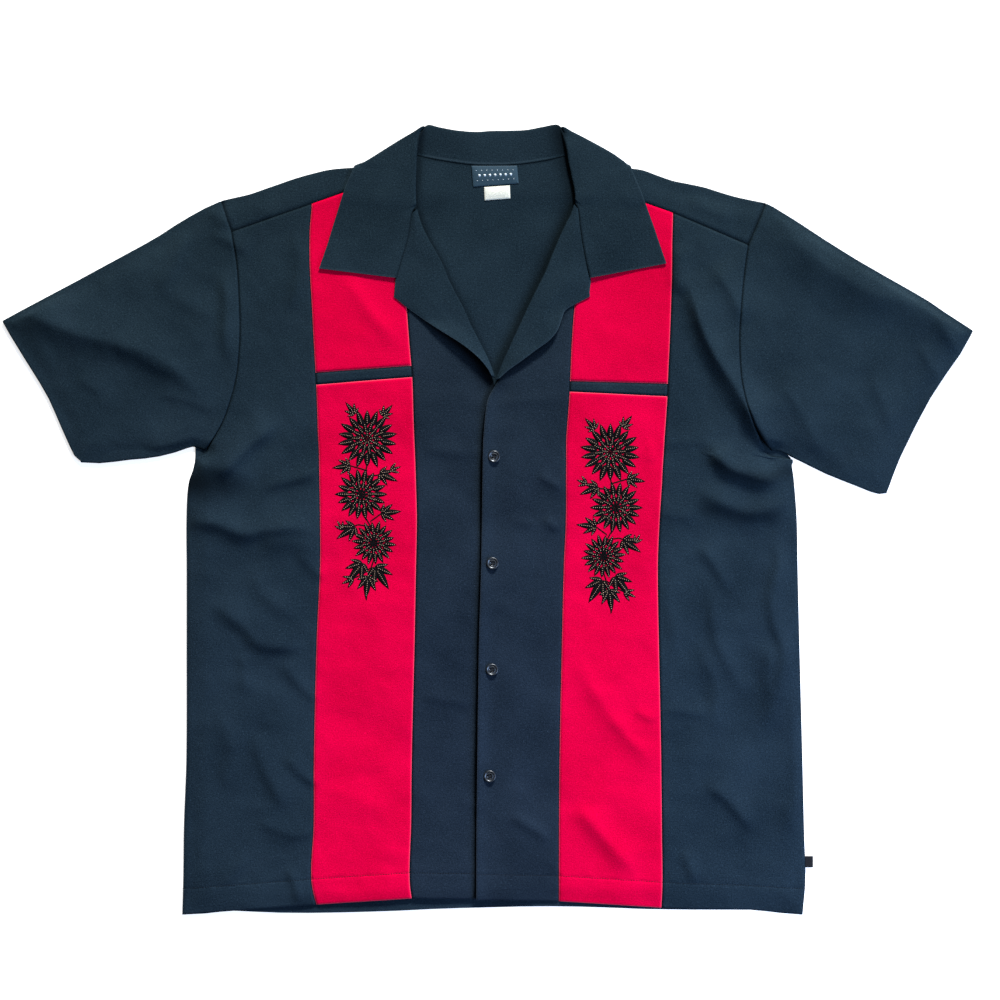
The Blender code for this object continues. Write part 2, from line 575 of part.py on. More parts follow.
def make_half_front(side, sections, cross, raised=None):
    rails = {rail: rail_points(sections, cross, rail) for rail in RAILS}
    inward = SEAM / 2 if side == "right" else -SEAM / 2
    near = {rail: sideways(rails[rail], inward) for rail in RAILS}
    far = {rail: sideways(rails[rail], -inward) for rail in RAILS}
    top = len(rails["side"]) - 1
    welt = ROWS_BELOW_ARM + ROWS_ARM_TO_WELT
    half = SEAM / 2
    front_panel("side_front_" + side, near["side"], far["outer"], 0, top, SIDE_COLUMNS, NAVY_CLOTH,
                (0.0, half))
    front_panel("strip_lower_" + side, near["outer"], far["inner"], 0, welt, STRIP_COLUMNS, RED_CLOTH,
                (0.0, half))
    front_panel("pocket_welt_" + side, near["outer"], far["inner"], welt, welt + 1, STRIP_COLUMNS,
                NAVY_CLOTH, (half, half))
    front_panel("strip_upper_" + side, near["outer"], far["inner"], welt + 1, top, STRIP_COLUMNS, RED_CLOTH,
                (half, half))
    front_panel("centre_front_" + side, near["inner"], rails["edge"], 0, top, CENTRE_COLUMNS, NAVY_CLOTH,
                (0.0, half), raised)
    return rails


# ---------------------------------------------------------------- lapels and collar
def rounded(points, reach):
    """A path through the points with each inner corner rounded."""
    path = [points[0]]
    for before, corner, after in zip(points, points[1:], points[2:]):
        back = min(reach / math.dist(before, corner), CORNER_SHARE)
        ahead = min(reach / math.dist(after, corner), CORNER_SHARE)
        start = mix_point(corner, before, back)
        end = mix_point(corner, after, ahead)
        path.append(start)
        path.append(mix_point(mix_point(start, end, 0.5), corner, 0.5))
        path.append(end)
    path.append(points[-1])
    return path


def make_lapel(side, table, edge_rail, raised=None):
    """A leaf that starts at the front's edge, turns over at the roll line and lies back on the front."""
    lean = 1.0 if side == "left" else -1.0
    grid = []
    for row in table:
        lip_x = straight_between(edge_rail, row.roll_y) + lean * LIP_GAP
        raise_lip = raised(lip_x, row.roll_y) if raised else 0.0
        raise_edge = raised(row.edge_x, row.edge_y) if raised else 0.0
        low = upper_lay(lip_x, row.roll_y) + raise_lip + CLOTH / 2
        high = low + ROLL_GAP
        edge_z = upper_lay(row.edge_x, row.edge_y) + raise_edge + CLOTH * 1.5 + row.lift
        lip = (lip_x, row.roll_y, low)
        turn_low = (row.roll_x, row.roll_y, low)
        turn_high = (row.roll_x, row.roll_y, high)
        edge = (row.edge_x, row.edge_y, edge_z)
        crown = mix_point(turn_high, edge, 0.5)
        crown = (crown[0], crown[1], crown[2] + LEAF_CROWN)
        grid.append(rounded([lip, turn_low, turn_high, crown, edge], ROLL_GAP / 2))
    sheet("lapel_" + side, grid, NAVY_CLOTH)


def collar_section(row, outward, over_line):
    """The path of one collar section: seam, stand, roll, fall and free edge."""
    seam = (row.seam_x, row.seam_y, row.seam_z)
    edge = (row.edge_x, row.edge_y, row.edge_z)
    if row.gap == 0.0:
        turn_in = mix_point(seam, edge, LEAF_TURN[0])
        turn_out = mix_point(seam, edge, LEAF_TURN[1])
    else:
        out_x, out_y = outward
        flat = math.sin(math.pi * row.wrap) * row.gap / 2
        up = math.cos(math.pi * row.wrap) * row.gap / 2
        turn_in = (row.roll_x - out_x * flat, row.roll_y - out_y * flat, row.roll_z - up)
        turn_out = (row.roll_x + out_x * flat, row.roll_y + out_y * flat, row.roll_z + up)
    if row.over is None:
        near, far = FALL_ON_TOP if row.wrap < 0.5 else FALL_BENEATH
        fall_a = mix_point(turn_out, edge, near)
        fall_b = mix_point(turn_out, edge, far)
    else:
        x, y = mix_point(*over_line, row.over)
        fall_a = (x, y, OVER_BROW)
        fall_b = (x, y, row.edge_z)
    return rounded([seam, turn_in, turn_out, fall_a, fall_b, edge], COLLAR_CORNER)


def half_collar(table, over_line, lean):
    roll = [(row.roll_x, row.roll_y) for row in table]
    return [collar_section(row, unit_sideways(roll, k, lean), over_line) for k, row in enumerate(table)]


def make_collar():
    left = half_collar(COLLAR_LEFT, OVER_LEFT, 1.0)
    right = half_collar(COLLAR_RIGHT, OVER_RIGHT, -1.0)
    sheet("collar", left + right[::-1], NAVY_CLOTH)


# ---------------------------------------------------------------- back
def folded_edge(centre, outward, low, high):
    """Points round a folded edge, from the upper layer to the lower one: outer, inner."""
    middle = (low + high) / 2
    radius = (high - low) / 2
    pairs = []
    for k in range(1, EDGE_STEPS):
        angle = math.pi * (0.5 - k / EDGE_STEPS)
        reach, rise = math.cos(angle), math.sin(angle)
        pairs.append([(centre[0] + outward[0] * reach * r, centre[1] + outward[1] * reach * r,
                       middle + rise * r) for r in (radius, radius - CLOTH)])
    return pairs


def shoulder_columns(shoulder, rails):
    """For one shoulder: points of the fold line and of the yoke seam below them, armhole to neck."""
    yoke = []
    ends = [rails[rail][-1] for rail in RAILS]
    for near, far, count in zip(ends, ends[1:], FLAP_COLUMNS):
        yoke += [mix_point(near, far, k / count) for k in range(count)]
    yoke.append(ends[-1])
    span = yoke[-1][0] - yoke[0][0]
    shares = [(x - yoke[0][0]) / span for x, _ in yoke]
    table = sorted(shoulder)
    fold = []
    for share in shares:
        x = mix(shoulder[0][0], shoulder[-1][0], share)
        fold.append((x, read_curve(table, x)))
    return fold, yoke


def armhole_back(table, top_y):
    return [(read_curve(table, top_y - down), top_y - down) for down in BACK_ROWS_DOWN]


def back_neck():
    """The back's neck edge, just below the seam of the collar, between the two shoulder folds."""
    left = [(row.seam_x, row.seam_y - SEAM) for row in COLLAR_LEFT[BACK_NECK_FROM:]]
    right = [(row.seam_x, row.seam_y - SEAM) for row in COLLAR_RIGHT[BACK_NECK_FROM:]]
    return left + right[::-1]


def body_side(sections, top, bottom):
    """A side seam of the back, from below the underarm down to the hem."""
    table = [(row.y, row.side) for row in sections]
    heights = [mix(top, bottom, k / BACK_ROWS_BODY) for k in range(1, BACK_ROWS_BODY + 1)]
    return [(read_curve(table, y), y) for y in heights]


def make_back(left_rails, right_rails):
    left_fold, left_yoke = shoulder_columns(LEFT_SHOULDER, left_rails)
    right_fold, right_yoke = shoulder_columns(RIGHT_SHOULDER, right_rails)
    neck = back_neck()
    half = SEAM / 2

    left_arm = sideways(armhole_back(LEFT_BACK_ARMHOLE, LEFT_SHOULDER[0][1]), half)
    right_arm = sideways(armhole_back(RIGHT_BACK_ARMHOLE, RIGHT_SHOULDER[0][1]), -half)

    # Fold centres: the fold line moved inwards by the radius of the fold.
    left_out = [unit_sideways(left_fold, k, 1.0) for k in range(len(left_fold))]
    right_out = [unit_sideways(right_fold, k, -1.0) for k in range(len(right_fold))]
    left_centre = sideways(left_fold, -FOLD_RADIUS)
    right_centre = sideways(right_fold, FOLD_RADIUS)
    left_centre[0] = (left_arm[0][0] + half, left_centre[0][1])
    right_centre[0] = (right_arm[0][0] - half, right_centre[0][1])
    top = left_centre + neck + right_centre[::-1]

    left_side = body_side(LEFT_SECTIONS, left_arm[-1][1], BACK_HEM[0][1])
    right_side = body_side(RIGHT_SECTIONS, right_arm[-1][1], BACK_HEM[-1][1])
    left_edge = left_side[::-1] + left_arm[::-1][:-1] + [left_centre[0]]
    right_edge = right_side[::-1] + right_arm[::-1][:-1] + [right_centre[0]]

    columns = len(top) - 1
    rows = len(left_edge) - 1
    run = lengths_along(top)
    shares = [length / run[-1] for length in run]
    hem = walk(BACK_HEM, shares)
    hem[0] = left_edge[0]
    hem[-1] = right_edge[0]
    climb = [(y - left_edge[0][1]) / (left_edge[-1][1] - left_edge[0][1]) for _, y in left_edge]

    corners = (hem[0], hem[-1], top[0], top[-1])
    pairs = {}
    for r in range(rows + 1):
        for c in range(columns + 1):
            point = patch_point(hem[c], top[c], left_edge[r], right_edge[r], shares[c], climb[r], corners)
            pairs[r, c] = under_pair(*point)
    cells = grid_cells(rows, columns)

    # Each flap goes round its shoulder fold and down the front to the yoke seam.
    flaps = [(left_centre, left_out, left_yoke, 0, 1), (right_centre, right_out, right_yoke, columns, -1)]
    for centres, outs, yoke, first, step in flaps:
        for k, (x, y) in enumerate(centres):
            column = first + step * k
            turn = folded_edge((x, y), outs[k], back_lift(x, y), upper_lay(x, y) + CLOTH)
            for n, pair in enumerate(reversed(turn)):
                pairs[rows + 1 + n, column] = pair
            seam = (yoke[k][0], yoke[k][1] + half)
            if k == 0:
                seam = (seam[0] + step * half, seam[1])
            for n in range(FLAP_ROWS + 1):
                pairs[rows + EDGE_STEPS + n, column] = upper_pair(*mix_point((x, y), seam, n / FLAP_ROWS))
        flap_left = min(first, first + step * (len(centres) - 1))
        for r in range(rows, rows + EDGE_STEPS + FLAP_ROWS):
            for c in range(flap_left, flap_left + len(centres) - 1):
                cells.append([(r, c), (r, c + 1), (r + 1, c + 1), (r + 1, c)])
    wall("back", pairs, cells, NAVY_CLOTH)


# ---------------------------------------------------------------- sleeves
def sleeve_layer(armhole, cuff_line, top_edge, under_edge):
    """Plan points of one side of a sleeve, rows outwards, columns from top fold to under edge."""
    run = lengths_along(armhole)
    shares = [length / run[-1] for length in run]
    cuff = walk(cuff_line, shares)
    cuff[0] = top_edge[-1]
    cuff[-1] = under_edge[-1]
    corners = (armhole[0], armhole[-1], cuff[0], cuff[-1])
    rows = []
    for r in range(SLEEVE_ROWS + 1):
        v = r / SLEEVE_ROWS
        rows.append([patch_point(armhole[c], cuff[c], top_edge[r], under_edge[r], s, v, corners)
                     for c, s in enumerate(shares)])
    return rows


def make_sleeve(side, outline, upper_armhole, lower_armhole):
    """A flattened tube, open at the armhole and at the cuff."""
    lean = 1.0 if side == "left" else -1.0
    steps = [r / SLEEVE_ROWS for r in range(SLEEVE_ROWS + 1)]
    top_edge = sideways(walk(outline["top"], steps), lean * FOLD_RADIUS)
    under_edge = sideways(walk(outline["under"], steps), -lean * FOLD_RADIUS)
    top_edge[0] = upper_armhole[0]
    under_edge[0] = upper_armhole[-1]
    lower_armhole = [top_edge[0]] + lower_armhole[1:-1] + [under_edge[0]]
    upper_rows = sleeve_layer(upper_armhole, outline["cuff"], top_edge, under_edge)
    lower_rows = sleeve_layer(lower_armhole, outline["cuff"], top_edge, under_edge)

    pairs = {}
    for r in range(SLEEVE_ROWS + 1):
        under_turn = folded_edge(under_edge[r], unit_sideways(under_edge, r, lean),
                                 0.0, upper_lay(*under_edge[r]) + CLOTH)
        top_turn = folded_edge(top_edge[r], unit_sideways(top_edge, r, -lean),
                               0.0, upper_lay(*top_edge[r]) + CLOTH)
        ring = [upper_pair(*point) for point in upper_rows[r]] + under_turn
        ring += [under_pair(*point) for point in reversed(lower_rows[r])] + top_turn[::-1]
        for c, pair in enumerate(ring):
            pairs[r, c] = pair
    wall("sleeve_" + side, pairs, grid_cells(SLEEVE_ROWS, len(ring) - 1, closed=True), NAVY_CLOTH)


def sleeve_armholes(side, rails, shoulder, back_table, under_start):
    """The sleeve's own edges along both armholes, shoulder to underarm, clear of the body's."""
    out = SEAM / 2 if side == "left" else -SEAM / 2
    seam = rails["side"][ROWS_BELOW_ARM:][::-1]
    corner = seam[0]
    start = (shoulder[0][0], shoulder[0][1] - FOLD_RADIUS)
    flap = [mix_point(start, corner, n / FLAP_ROWS) for n in range(FLAP_ROWS)]
    upper = sideways(flap + seam, -out)
    upper[-1] = under_start
    lower = sideways(armhole_back(back_table, shoulder[0][1]), -out)
    return upper, lower


# ---------------------------------------------------------------- small pieces
def make_button(name, x, y):
    """A turned disc with a raised rim, a dished middle and four holes."""
    radius = BUTTON_DIAMETER / 2
    under = [(x, y), (x - radius, y), (x + radius, y), (x, y - radius), (x, y + radius)]
    floor = max(upper_pair(*place, lap_rise)[0][2] for place in under) + SEAM
    top = BUTTON_THICKNESS
    dish = radius - BUTTON_RIM
    profile = [(0.0, 0.0), (radius - BUTTON_FOOT, 0.0), (radius, BUTTON_FOOT_RISE),
               (radius, top - BUTTON_RIM_EDGE), (radius - BUTTON_RIM_EDGE, top), (dish, top),
               (dish - BUTTON_DISH_SLOPE, top - BUTTON_DISH), (0.0, top - BUTTON_DISH)]
    angles = [2 * math.pi * k / BUTTON_SEGMENTS for k in range(BUTTON_SEGMENTS)]
    bm = bmesh.new()
    rings = []
    for r, z in profile:
        if r == 0.0:
            rings.append([bm.verts.new((0.0, 0.0, z * MM))])
        else:
            rings.append([bm.verts.new((r * math.cos(a) * MM, r * math.sin(a) * MM, z * MM))
                          for a in angles])
    for low, high in zip(rings, rings[1:]):
        for k in range(BUTTON_SEGMENTS):
            n = (k + 1) % BUTTON_SEGMENTS
            corners = [low[k % len(low)], low[n % len(low)], high[n % len(high)], high[k % len(high)]]
            bm.faces.new(list(dict.fromkeys(corners)))
    bmesh.ops.recalc_face_normals(bm, faces=bm.faces)
    mesh = bpy.data.meshes.new(name)
    bm.to_mesh(mesh)
    bm.free()
    button = make_object(name, mesh, BUTTON_RESIN)
    button.location = (x * MM, y * MM, floor * MM)
    drill = make_drill(name + "_drill", button.location)
    holes = button.modifiers.new("holes", "BOOLEAN")
    holes.operation = "DIFFERENCE"
    holes.solver = "EXACT"
    holes.object = drill


def make_drill(name, place):
    """The hidden cutter of a button's four holes."""
    bm = bmesh.new()
    offset = BUTTON_HOLE_PITCH / 2
    for sx in (-1, 1):
        for sy in (-1, 1):
            made = bmesh.ops.create_cone(bm, cap_ends=True, segments=BUTTON_HOLE_SEGMENTS,
                                         radius1=BUTTON_HOLE / 2 * MM, radius2=BUTTON_HOLE / 2 * MM,
                                         depth=3 * BUTTON_THICKNESS * MM)
            bmesh.ops.translate(bm, verts=made["verts"], vec=(sx * offset * MM, sy * offset * MM, 0.0))
    mesh = bpy.data.meshes.new(name)
    bm.to_mesh(mesh)
    bm.free()
    drill = bpy.data.objects.new(name, mesh)
    bpy.context.scene.collection.objects.link(drill)
    drill.location = place
    drill.hide_render = True
    drill.display_type = "WIRE"
    return drill


def make_label(name, corners, finish):
    """A flat label that follows the back under it: corners from its sewn edge's left end, clockwise."""
    pairs = {}
    for r in range(LABEL_STEPS + 1):
        for c in range(LABEL_STEPS + 1):
            upper = mix_point(corners[0], corners[1], c / LABEL_STEPS)
            lower = mix_point(corners[3], corners[2], c / LABEL_STEPS)
            x, y = mix_point(upper, lower, r / LABEL_STEPS)
            floor = back_lift(x, y) + CLOTH + SEAM
            pairs[r, c] = ((x, y, floor + LABEL_CLOTH), (x, y, floor))
    wall(name, pairs, grid_cells(LABEL_STEPS, LABEL_STEPS), finish)


def make_tab():
    """A narrow tape folded in two, its ends at the side seam and its fold outwards."""
    high = 2 * TAB_CLOTH + TAB_GAP
    middle = high / 2
    turn = TAB_ROOT_X + TAB_REACH - middle
    path = [((TAB_ROOT_X, 0.0), (TAB_ROOT_X, TAB_CLOTH))]
    for k in range(TAB_TURN_STEPS + 1):
        angle = math.pi * (k / TAB_TURN_STEPS - 0.5)
        path.append([(turn + r * math.cos(angle), middle + r * math.sin(angle))
                     for r in (middle, middle - TAB_CLOTH)])
    path.append(((TAB_ROOT_X, high), (TAB_ROOT_X, high - TAB_CLOTH)))
    pairs = {}
    for r, y in enumerate((TAB_MIDDLE_Y - TAB_WIDTH / 2, TAB_MIDDLE_Y + TAB_WIDTH / 2)):
        for c, (outer, inner) in enumerate(path):
            pairs[r, c] = ((outer[0], y, outer[1]), (inner[0], y, inner[1]))
    wall("side_tab", pairs, grid_cells(1, len(path) - 1), TAB_WEAVE)


# ---------------------------------------------------------------- the shirt
clear_scene()
left = make_half_front("left", LEFT_SECTIONS, LEFT_CROSS)
right = make_half_front("right", RIGHT_SECTIONS, RIGHT_CROSS, lap_rise)
make_back(left, right)
make_sleeve("left", LEFT_SLEEVE, *sleeve_armholes(
    "left", left, LEFT_SHOULDER, LEFT_BACK_ARMHOLE, LEFT_SLEEVE["under"][0]))
make_sleeve("right", RIGHT_SLEEVE, *sleeve_armholes(
    "right", right, RIGHT_SHOULDER, RIGHT_BACK_ARMHOLE, RIGHT_SLEEVE["under"][0]))
make_lapel("left", LEFT_REVERS, left["edge"])
make_lapel("right", RIGHT_REVERS, right["edge"], lap_rise)
make_collar()
for number, (button_x, button_y) in enumerate(BUTTON_PLACES, start=1):
    make_button("button_%d" % number, button_x, button_y)
make_label("neck_label", NECK_LABEL, LABEL_WEAVE)
make_label("care_label", CARE_LABEL, CARE_SATIN)
make_tab()
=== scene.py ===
import math
from collections import namedtuple
from functools import partial

import bmesh
import bpy
import numpy as np
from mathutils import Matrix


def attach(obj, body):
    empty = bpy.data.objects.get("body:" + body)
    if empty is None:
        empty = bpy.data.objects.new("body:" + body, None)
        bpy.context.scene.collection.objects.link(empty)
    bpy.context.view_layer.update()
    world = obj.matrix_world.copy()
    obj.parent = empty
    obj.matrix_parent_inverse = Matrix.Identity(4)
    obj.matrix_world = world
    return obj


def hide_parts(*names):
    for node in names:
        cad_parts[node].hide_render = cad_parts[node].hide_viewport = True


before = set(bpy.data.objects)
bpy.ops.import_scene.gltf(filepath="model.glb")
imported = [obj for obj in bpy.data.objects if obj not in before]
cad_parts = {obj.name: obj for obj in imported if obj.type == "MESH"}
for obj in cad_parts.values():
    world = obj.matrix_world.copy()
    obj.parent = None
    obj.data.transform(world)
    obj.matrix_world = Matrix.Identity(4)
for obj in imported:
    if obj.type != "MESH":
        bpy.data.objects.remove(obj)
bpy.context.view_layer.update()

# ---------------------------------------------------------------- table, daylight and camera
# A white table top lit from within, low daylight from beyond the collar and a soft white room. The
# camera looks straight down at the shirt. Plan sizes are millimetres, as on a cutting table.
MM = 0.001
VIEW_CENTRE = (12.6, 20.0)
VIEW_WIDTH, VIEW_HEIGHT = 1050.0, 2400.0
SENSOR = 36.0
TABLE_HALF, TABLE_DROP, TABLE_GLOW = 2600.0, 0.3, 0.7
WHITE = (1.0, 1.0, 1.0, 1.0)
# The window's height above the table, bearing from the shirt's right and breadth, in degrees.
WINDOW_HEIGHT, WINDOW_BEARING, WINDOW_SPREAD = 23.5, 76.0, 10.0


def set_inputs(node, values):
    """Sets a node's inputs: another node's output is linked to its input, the rest are values."""
    for name, value in dict(values).items():
        if isinstance(value, bpy.types.NodeSocket):
            node.id_data.links.new(value, node.inputs[name])
        else:
            node.inputs[name].default_value = value
    return node


def shader_of(material):
    return material.node_tree.nodes["Principled BSDF"]


def plain_material(name, colour, roughness, **others):
    """A material from the settings of its shader, whose names are written with underscores."""
    material = bpy.data.materials.new(name)
    material.use_nodes = True
    set_inputs(shader_of(material), {"Base Color": (*colour, 1.0), "Roughness": roughness,
                                     **{key.replace("_", " "): value for key, value in others.items()}})
    return material


def placed(name, data):
    """A new object in the scene from its mesh, light or camera data."""
    obj = bpy.data.objects.new(name, data)
    bpy.context.scene.collection.objects.link(obj)
    return obj


table_mesh = bpy.data.meshes.new("table")
corners = [(-1, -1), (1, -1), (1, 1), (-1, 1)]
table_mesh.from_pydata([(x * TABLE_HALF * MM, y * TABLE_HALF * MM, -TABLE_DROP * MM) for x, y in corners],
                       [], [(0, 1, 2, 3)])
table_mesh.materials.append(plain_material("white_table", (0.90, 0.90, 0.90), 0.7,
                                           Emission_Strength=TABLE_GLOW, Emission_Color=WHITE))
placed("table", table_mesh)

window = bpy.data.lights.new("window", "SUN")
window.energy, window.angle = 7.0, math.radians(WINDOW_SPREAD)
placed("window", window).rotation_euler = (math.radians(90.0 - WINDOW_HEIGHT), 0.0,
                                           math.radians(90.0 + WINDOW_BEARING))
sky = bpy.data.lights.new("blue_sky", "AREA")
sky.size, sky.energy, sky.color = 1.1, 41.0, (0.46, 0.64, 1.0)
sky_light = placed("blue_sky", sky)
sky_light.location = (1.45, -0.75, 1.0)
sky_light.rotation_euler = (math.radians(58.5), 0.0, math.radians(62.7))
room = bpy.data.worlds.new("room")
room.use_nodes = True
set_inputs(room.node_tree.nodes["Background"], {"Color": WHITE, "Strength": 0.12})
bpy.context.scene.world = room
bpy.context.scene.view_settings.view_transform = "Standard"

camera_data = bpy.data.cameras.new("camera")
camera_data.sensor_width, camera_data.lens = SENSOR, SENSOR * VIEW_HEIGHT / VIEW_WIDTH
camera = placed("camera", camera_data)
camera.location = (VIEW_CENTRE[0] * MM, VIEW_CENTRE[1] * MM, VIEW_HEIGHT * MM)
bpy.context.scene.camera = camera

# ---------------------------------------------------------------- back, with its shoulder flaps
# One piece of matt dark plain-weave cloth, cut from neck to hem. It lies on the table, comes over
# each shoulder to the front and ends at the forward-shoulder seam.
CLOTH, SEAM, LAYER = 1.2, 0.3, 0.6
PUFF, PUFF_WIDTH = 2.2, 24.0
FOLD_REACH = 11.0
FOLD_RADIUS = (2 * CLOTH + LAYER) / 2
NECK_X = 4.7
COLLAR_LIFT = CLOTH + SEAM
LIFT_RISE, LIFT_HALF_WIDTH = (318.0, 345.0), (178.0, 150.0)
CALM_CENTRE, CALM_RADIUS = (5.0, 330.0), (130.0, 230.0)
CALM_PUFF, CALM_FOLDS = 0.4, 0.12
CELL = 2.9

# The long seams of each half-front at each height: side seam with armhole, outer and inner seam of
# the red strip, and front edge.
Section = namedtuple("Section", "y side outer inner edge")
SECTIONS = {
    "left": [
        (-415, -320.8, -177.5, -77, 15.7), (-378, -319.8, -185.2, -82, 15.8),
        (-320, -319, -182.8, -80.5, 16.1), (-250, -316.5, -182.6, -79.8, 16.6),
        (-130, -316.2, -179.7, -76.8, 17.4), (-50, -316.2, -176.2, -75.4, 18),
        (0, -316.4, -176.1, -74.5, 18.4), (37, -314.4, -176.8, -75.4, 18.7),
        (52.5, -309.4, -177, -75.9, 18.8), (60, -307.6, -177.1, -76.1, 18.9),
        (65.2, -306.4, -177.2, -76.3, 18.9), (67.4, -298.4, -177.3, -76.4, 18.9),
        (72, -294.6, -177.4, -76.6, 18.8), (90, -284, -178.4, -77.4, 17), (108, -275.6, -179, -78, 13.5),
        (146, -264.6, -180.4, -79.2, 5), (185, -260.4, -182.6, -82.4, -12.2),
        (220, -260.4, -184.4, -85, -29.2), (264, -263.1, -186.8, -87.6, -50.6),
        (301.4, -268.8, -187, -89.4, -70), (328, -274, -185, -90.4, -80), (366, -280, -184, -91.4, -82.8),
    ],
    "right": [
        (-415, 330.2, 181.8, 74.3, -12.3), (-378, 333.2, 183, 74.3, -12.2), (-330, 331.9, 182.4, 74.3, -12),
        (-250, 330, 181.6, 74.9, -11.1), (-130, 326.9, 179.2, 77.4, -9.4), (-50, 325, 178.1, 79.4, -7.2),
        (0, 324.1, 180, 81.6, -6.3), (37, 321.4, 182.4, 81.7, -5.8), (45.2, 320.6, 182.8, 81.7, -5.6),
        (55.7, 318.9, 183.4, 81.8, -5.5), (64.2, 317.4, 183.9, 81.8, -5.4), (65.8, 298, 184.1, 81.8, -5.3),
        (72, 291.6, 184.5, 81.8, -5.2), (84, 284.6, 185.2, 81.9, -4.8), (112, 273.2, 187.2, 84, -2.4),
        (128, 268.8, 188.2, 85.2, 1), (150, 265, 188.9, 86.2, 13.4), (192, 263.6, 190.8, 88.2, 32),
        (244, 267.3, 192.6, 92.4, 57), (287.7, 273, 193.3, 96.2, 76), (328, 281, 194.4, 99.6, 95.2),
        (366, 288, 195.4, 102.8, 93.6),
    ],
}
SECTIONS = {side: [Section(*row) for row in rows] for side, rows in SECTIONS.items()}
# Where the cross seams meet those long seams: hem, both sides of the pocket welt, and yoke seam.
CrossSeam = namedtuple("CrossSeam", "side outer inner edge")
CROSS = {
    "left": {"hem": CrossSeam(-414.8, -404.2, -397.6, -399), "welt_low": CrossSeam(136, 141, 149.1, 150),
             "welt_high": CrossSeam(148, 153.3, 160.7, 162), "yoke": CrossSeam(301.4, 330.8, 363.3, 365.4)},
    "right": {"hem": CrossSeam(-414.8, -407.6, -400.8, -399), "welt_low": CrossSeam(124, 128.8, 133.7, 137),
              "welt_high": CrossSeam(136, 141.8, 144.5, 148), "yoke": CrossSeam(287.7, 321.3, 353.9, 356)},
}
SHOULDER = {
    "left": [
        (-279.3, 334), (-265.7, 337.2), (-249.9, 340.9), (-234.2, 346.3), (-218.4, 351.8), (-202.7, 357.2),
        (-183.8, 362.6), (-165.9, 366.6), (-141.8, 368.6), (-133, 369.2), (-122, 371.5), (-106, 377),
        (-83, 384.8),
    ],
    "right": [
        (290.9, 331.6), (275.1, 334.7), (259.4, 338.2), (243.6, 342.8), (227.9, 347.8), (210, 351.7),
        (194.2, 354.9), (176.4, 361), (162.8, 365.8), (149.1, 367.8), (141, 368.6), (130, 371.5),
        (112, 377.5), (92.2, 384.8),
    ],
}
BACK_HEM = [
    (-320.8, -415.2), (-297, -414), (-281, -412.2), (-266, -411.1), (-250, -411.9), (-218, -413.2),
    (-187, -413.4), (-155, -412.9), (-124, -412.1), (-92, -411), (-61, -409.4), (-30, -408.3), (2, -407.5),
    (33, -406.7), (65, -406.4), (96, -406.8), (133, -408), (165, -409.3), (212, -409.9), (275, -410),
    (291, -411.5), (307, -413.4), (330.2, -415.2),
]
# Armholes of the back, under the fronts' own: y and x from the shoulder down to the underarm.
BACK_ARMHOLE = {
    "left": [
        (332.5, -279.3), (303, -275), (270, -271), (230, -268.8), (188, -269.3), (146, -273), (109, -281.5),
        (83, -293), (75, -299),
    ],
    "right": [
        (330.1, 290.9), (303, 284), (265, 278), (225, 273.6), (185, 273), (146, 276), (109, 285), (85, 296),
        (73.5, 301.5),
    ],
}
# The back's side seam near each underarm, up to the armhole: y and x.
BACK_UNDERARM = {
    "left": [(37, -314.4), (52.5, -309.4), (60, -307.6), (66.5, -307), (71.5, -307.2), (75.4, -307.4),
             (75.6, -303)],
    "right": [(37, 321.4), (45.2, 320.6), (55.7, 318.9), (60, 318.1), (64.6, 317.6), (69.6, 311.4),
              (72.6, 304.5)],
}
# The back's neck edge, just below the collar's seam.
BACK_NECK = [
    (-75.5, 381.5), (-67.2, 379.5), (-53.6, 377), (-34.7, 374), (-15.8, 371.7), (2.1, 371.2), (22, 371.4),
    (43, 373.5), (62, 376.5), (77, 379.5), (85, 381.5),
]
SLEEVE = {
    "left": {
        "top": [
            (-279.3, 334), (-297.2, 326.1), (-312.9, 317.5), (-328.7, 308), (-344.4, 297.6), (-360.2, 288.5),
            (-432.6, 249.2), (-509.7, 207.9),
        ],
        "cuff": [
            (-509.7, 207.9), (-501.9, 193.8), (-486.2, 168.2), (-470.4, 143), (-461, 126.5), (-454.7, 112.6),
            (-446.5, 93.5), (-438.9, 76.6), (-434, 66.4), (-427.4, 59.4),
        ],
        "under": [
            (-296.5, 72.8), (-303, 75.2), (-309.4, 76.4), (-315, 74.8), (-328.7, 69.8), (-344.4, 65.8),
            (-360.2, 63.4), (-375.9, 62.1), (-391.7, 60), (-407.4, 58.5), (-427.4, 59.4),
        ],
    },
    "right": {
        "top": [
            (290.9, 331.6), (299.5, 327.4), (322.4, 313.3), (353.9, 292.6), (385.4, 272.9), (416.9, 254.6),
            (448.4, 236.8), (464.1, 227.4), (479.9, 216.4), (495.6, 206.4), (509.2, 197.6),
        ],
        "cuff": [
            (509.2, 197.6), (495.6, 173.2), (479.9, 151), (464.1, 126.8), (448.4, 97.6), (432.6, 65),
            (425.2, 46.5), (418.6, 27.2),
        ],
        "under": [
            (296.5, 73.2), (304.5, 72.3), (311, 69.4), (318.2, 65.4), (338.1, 55.4), (353.9, 47.6),
            (369.6, 41.2), (385.4, 35), (401.1, 28.6), (410, 26.2), (418.6, 27.2),
        ],
    },
}
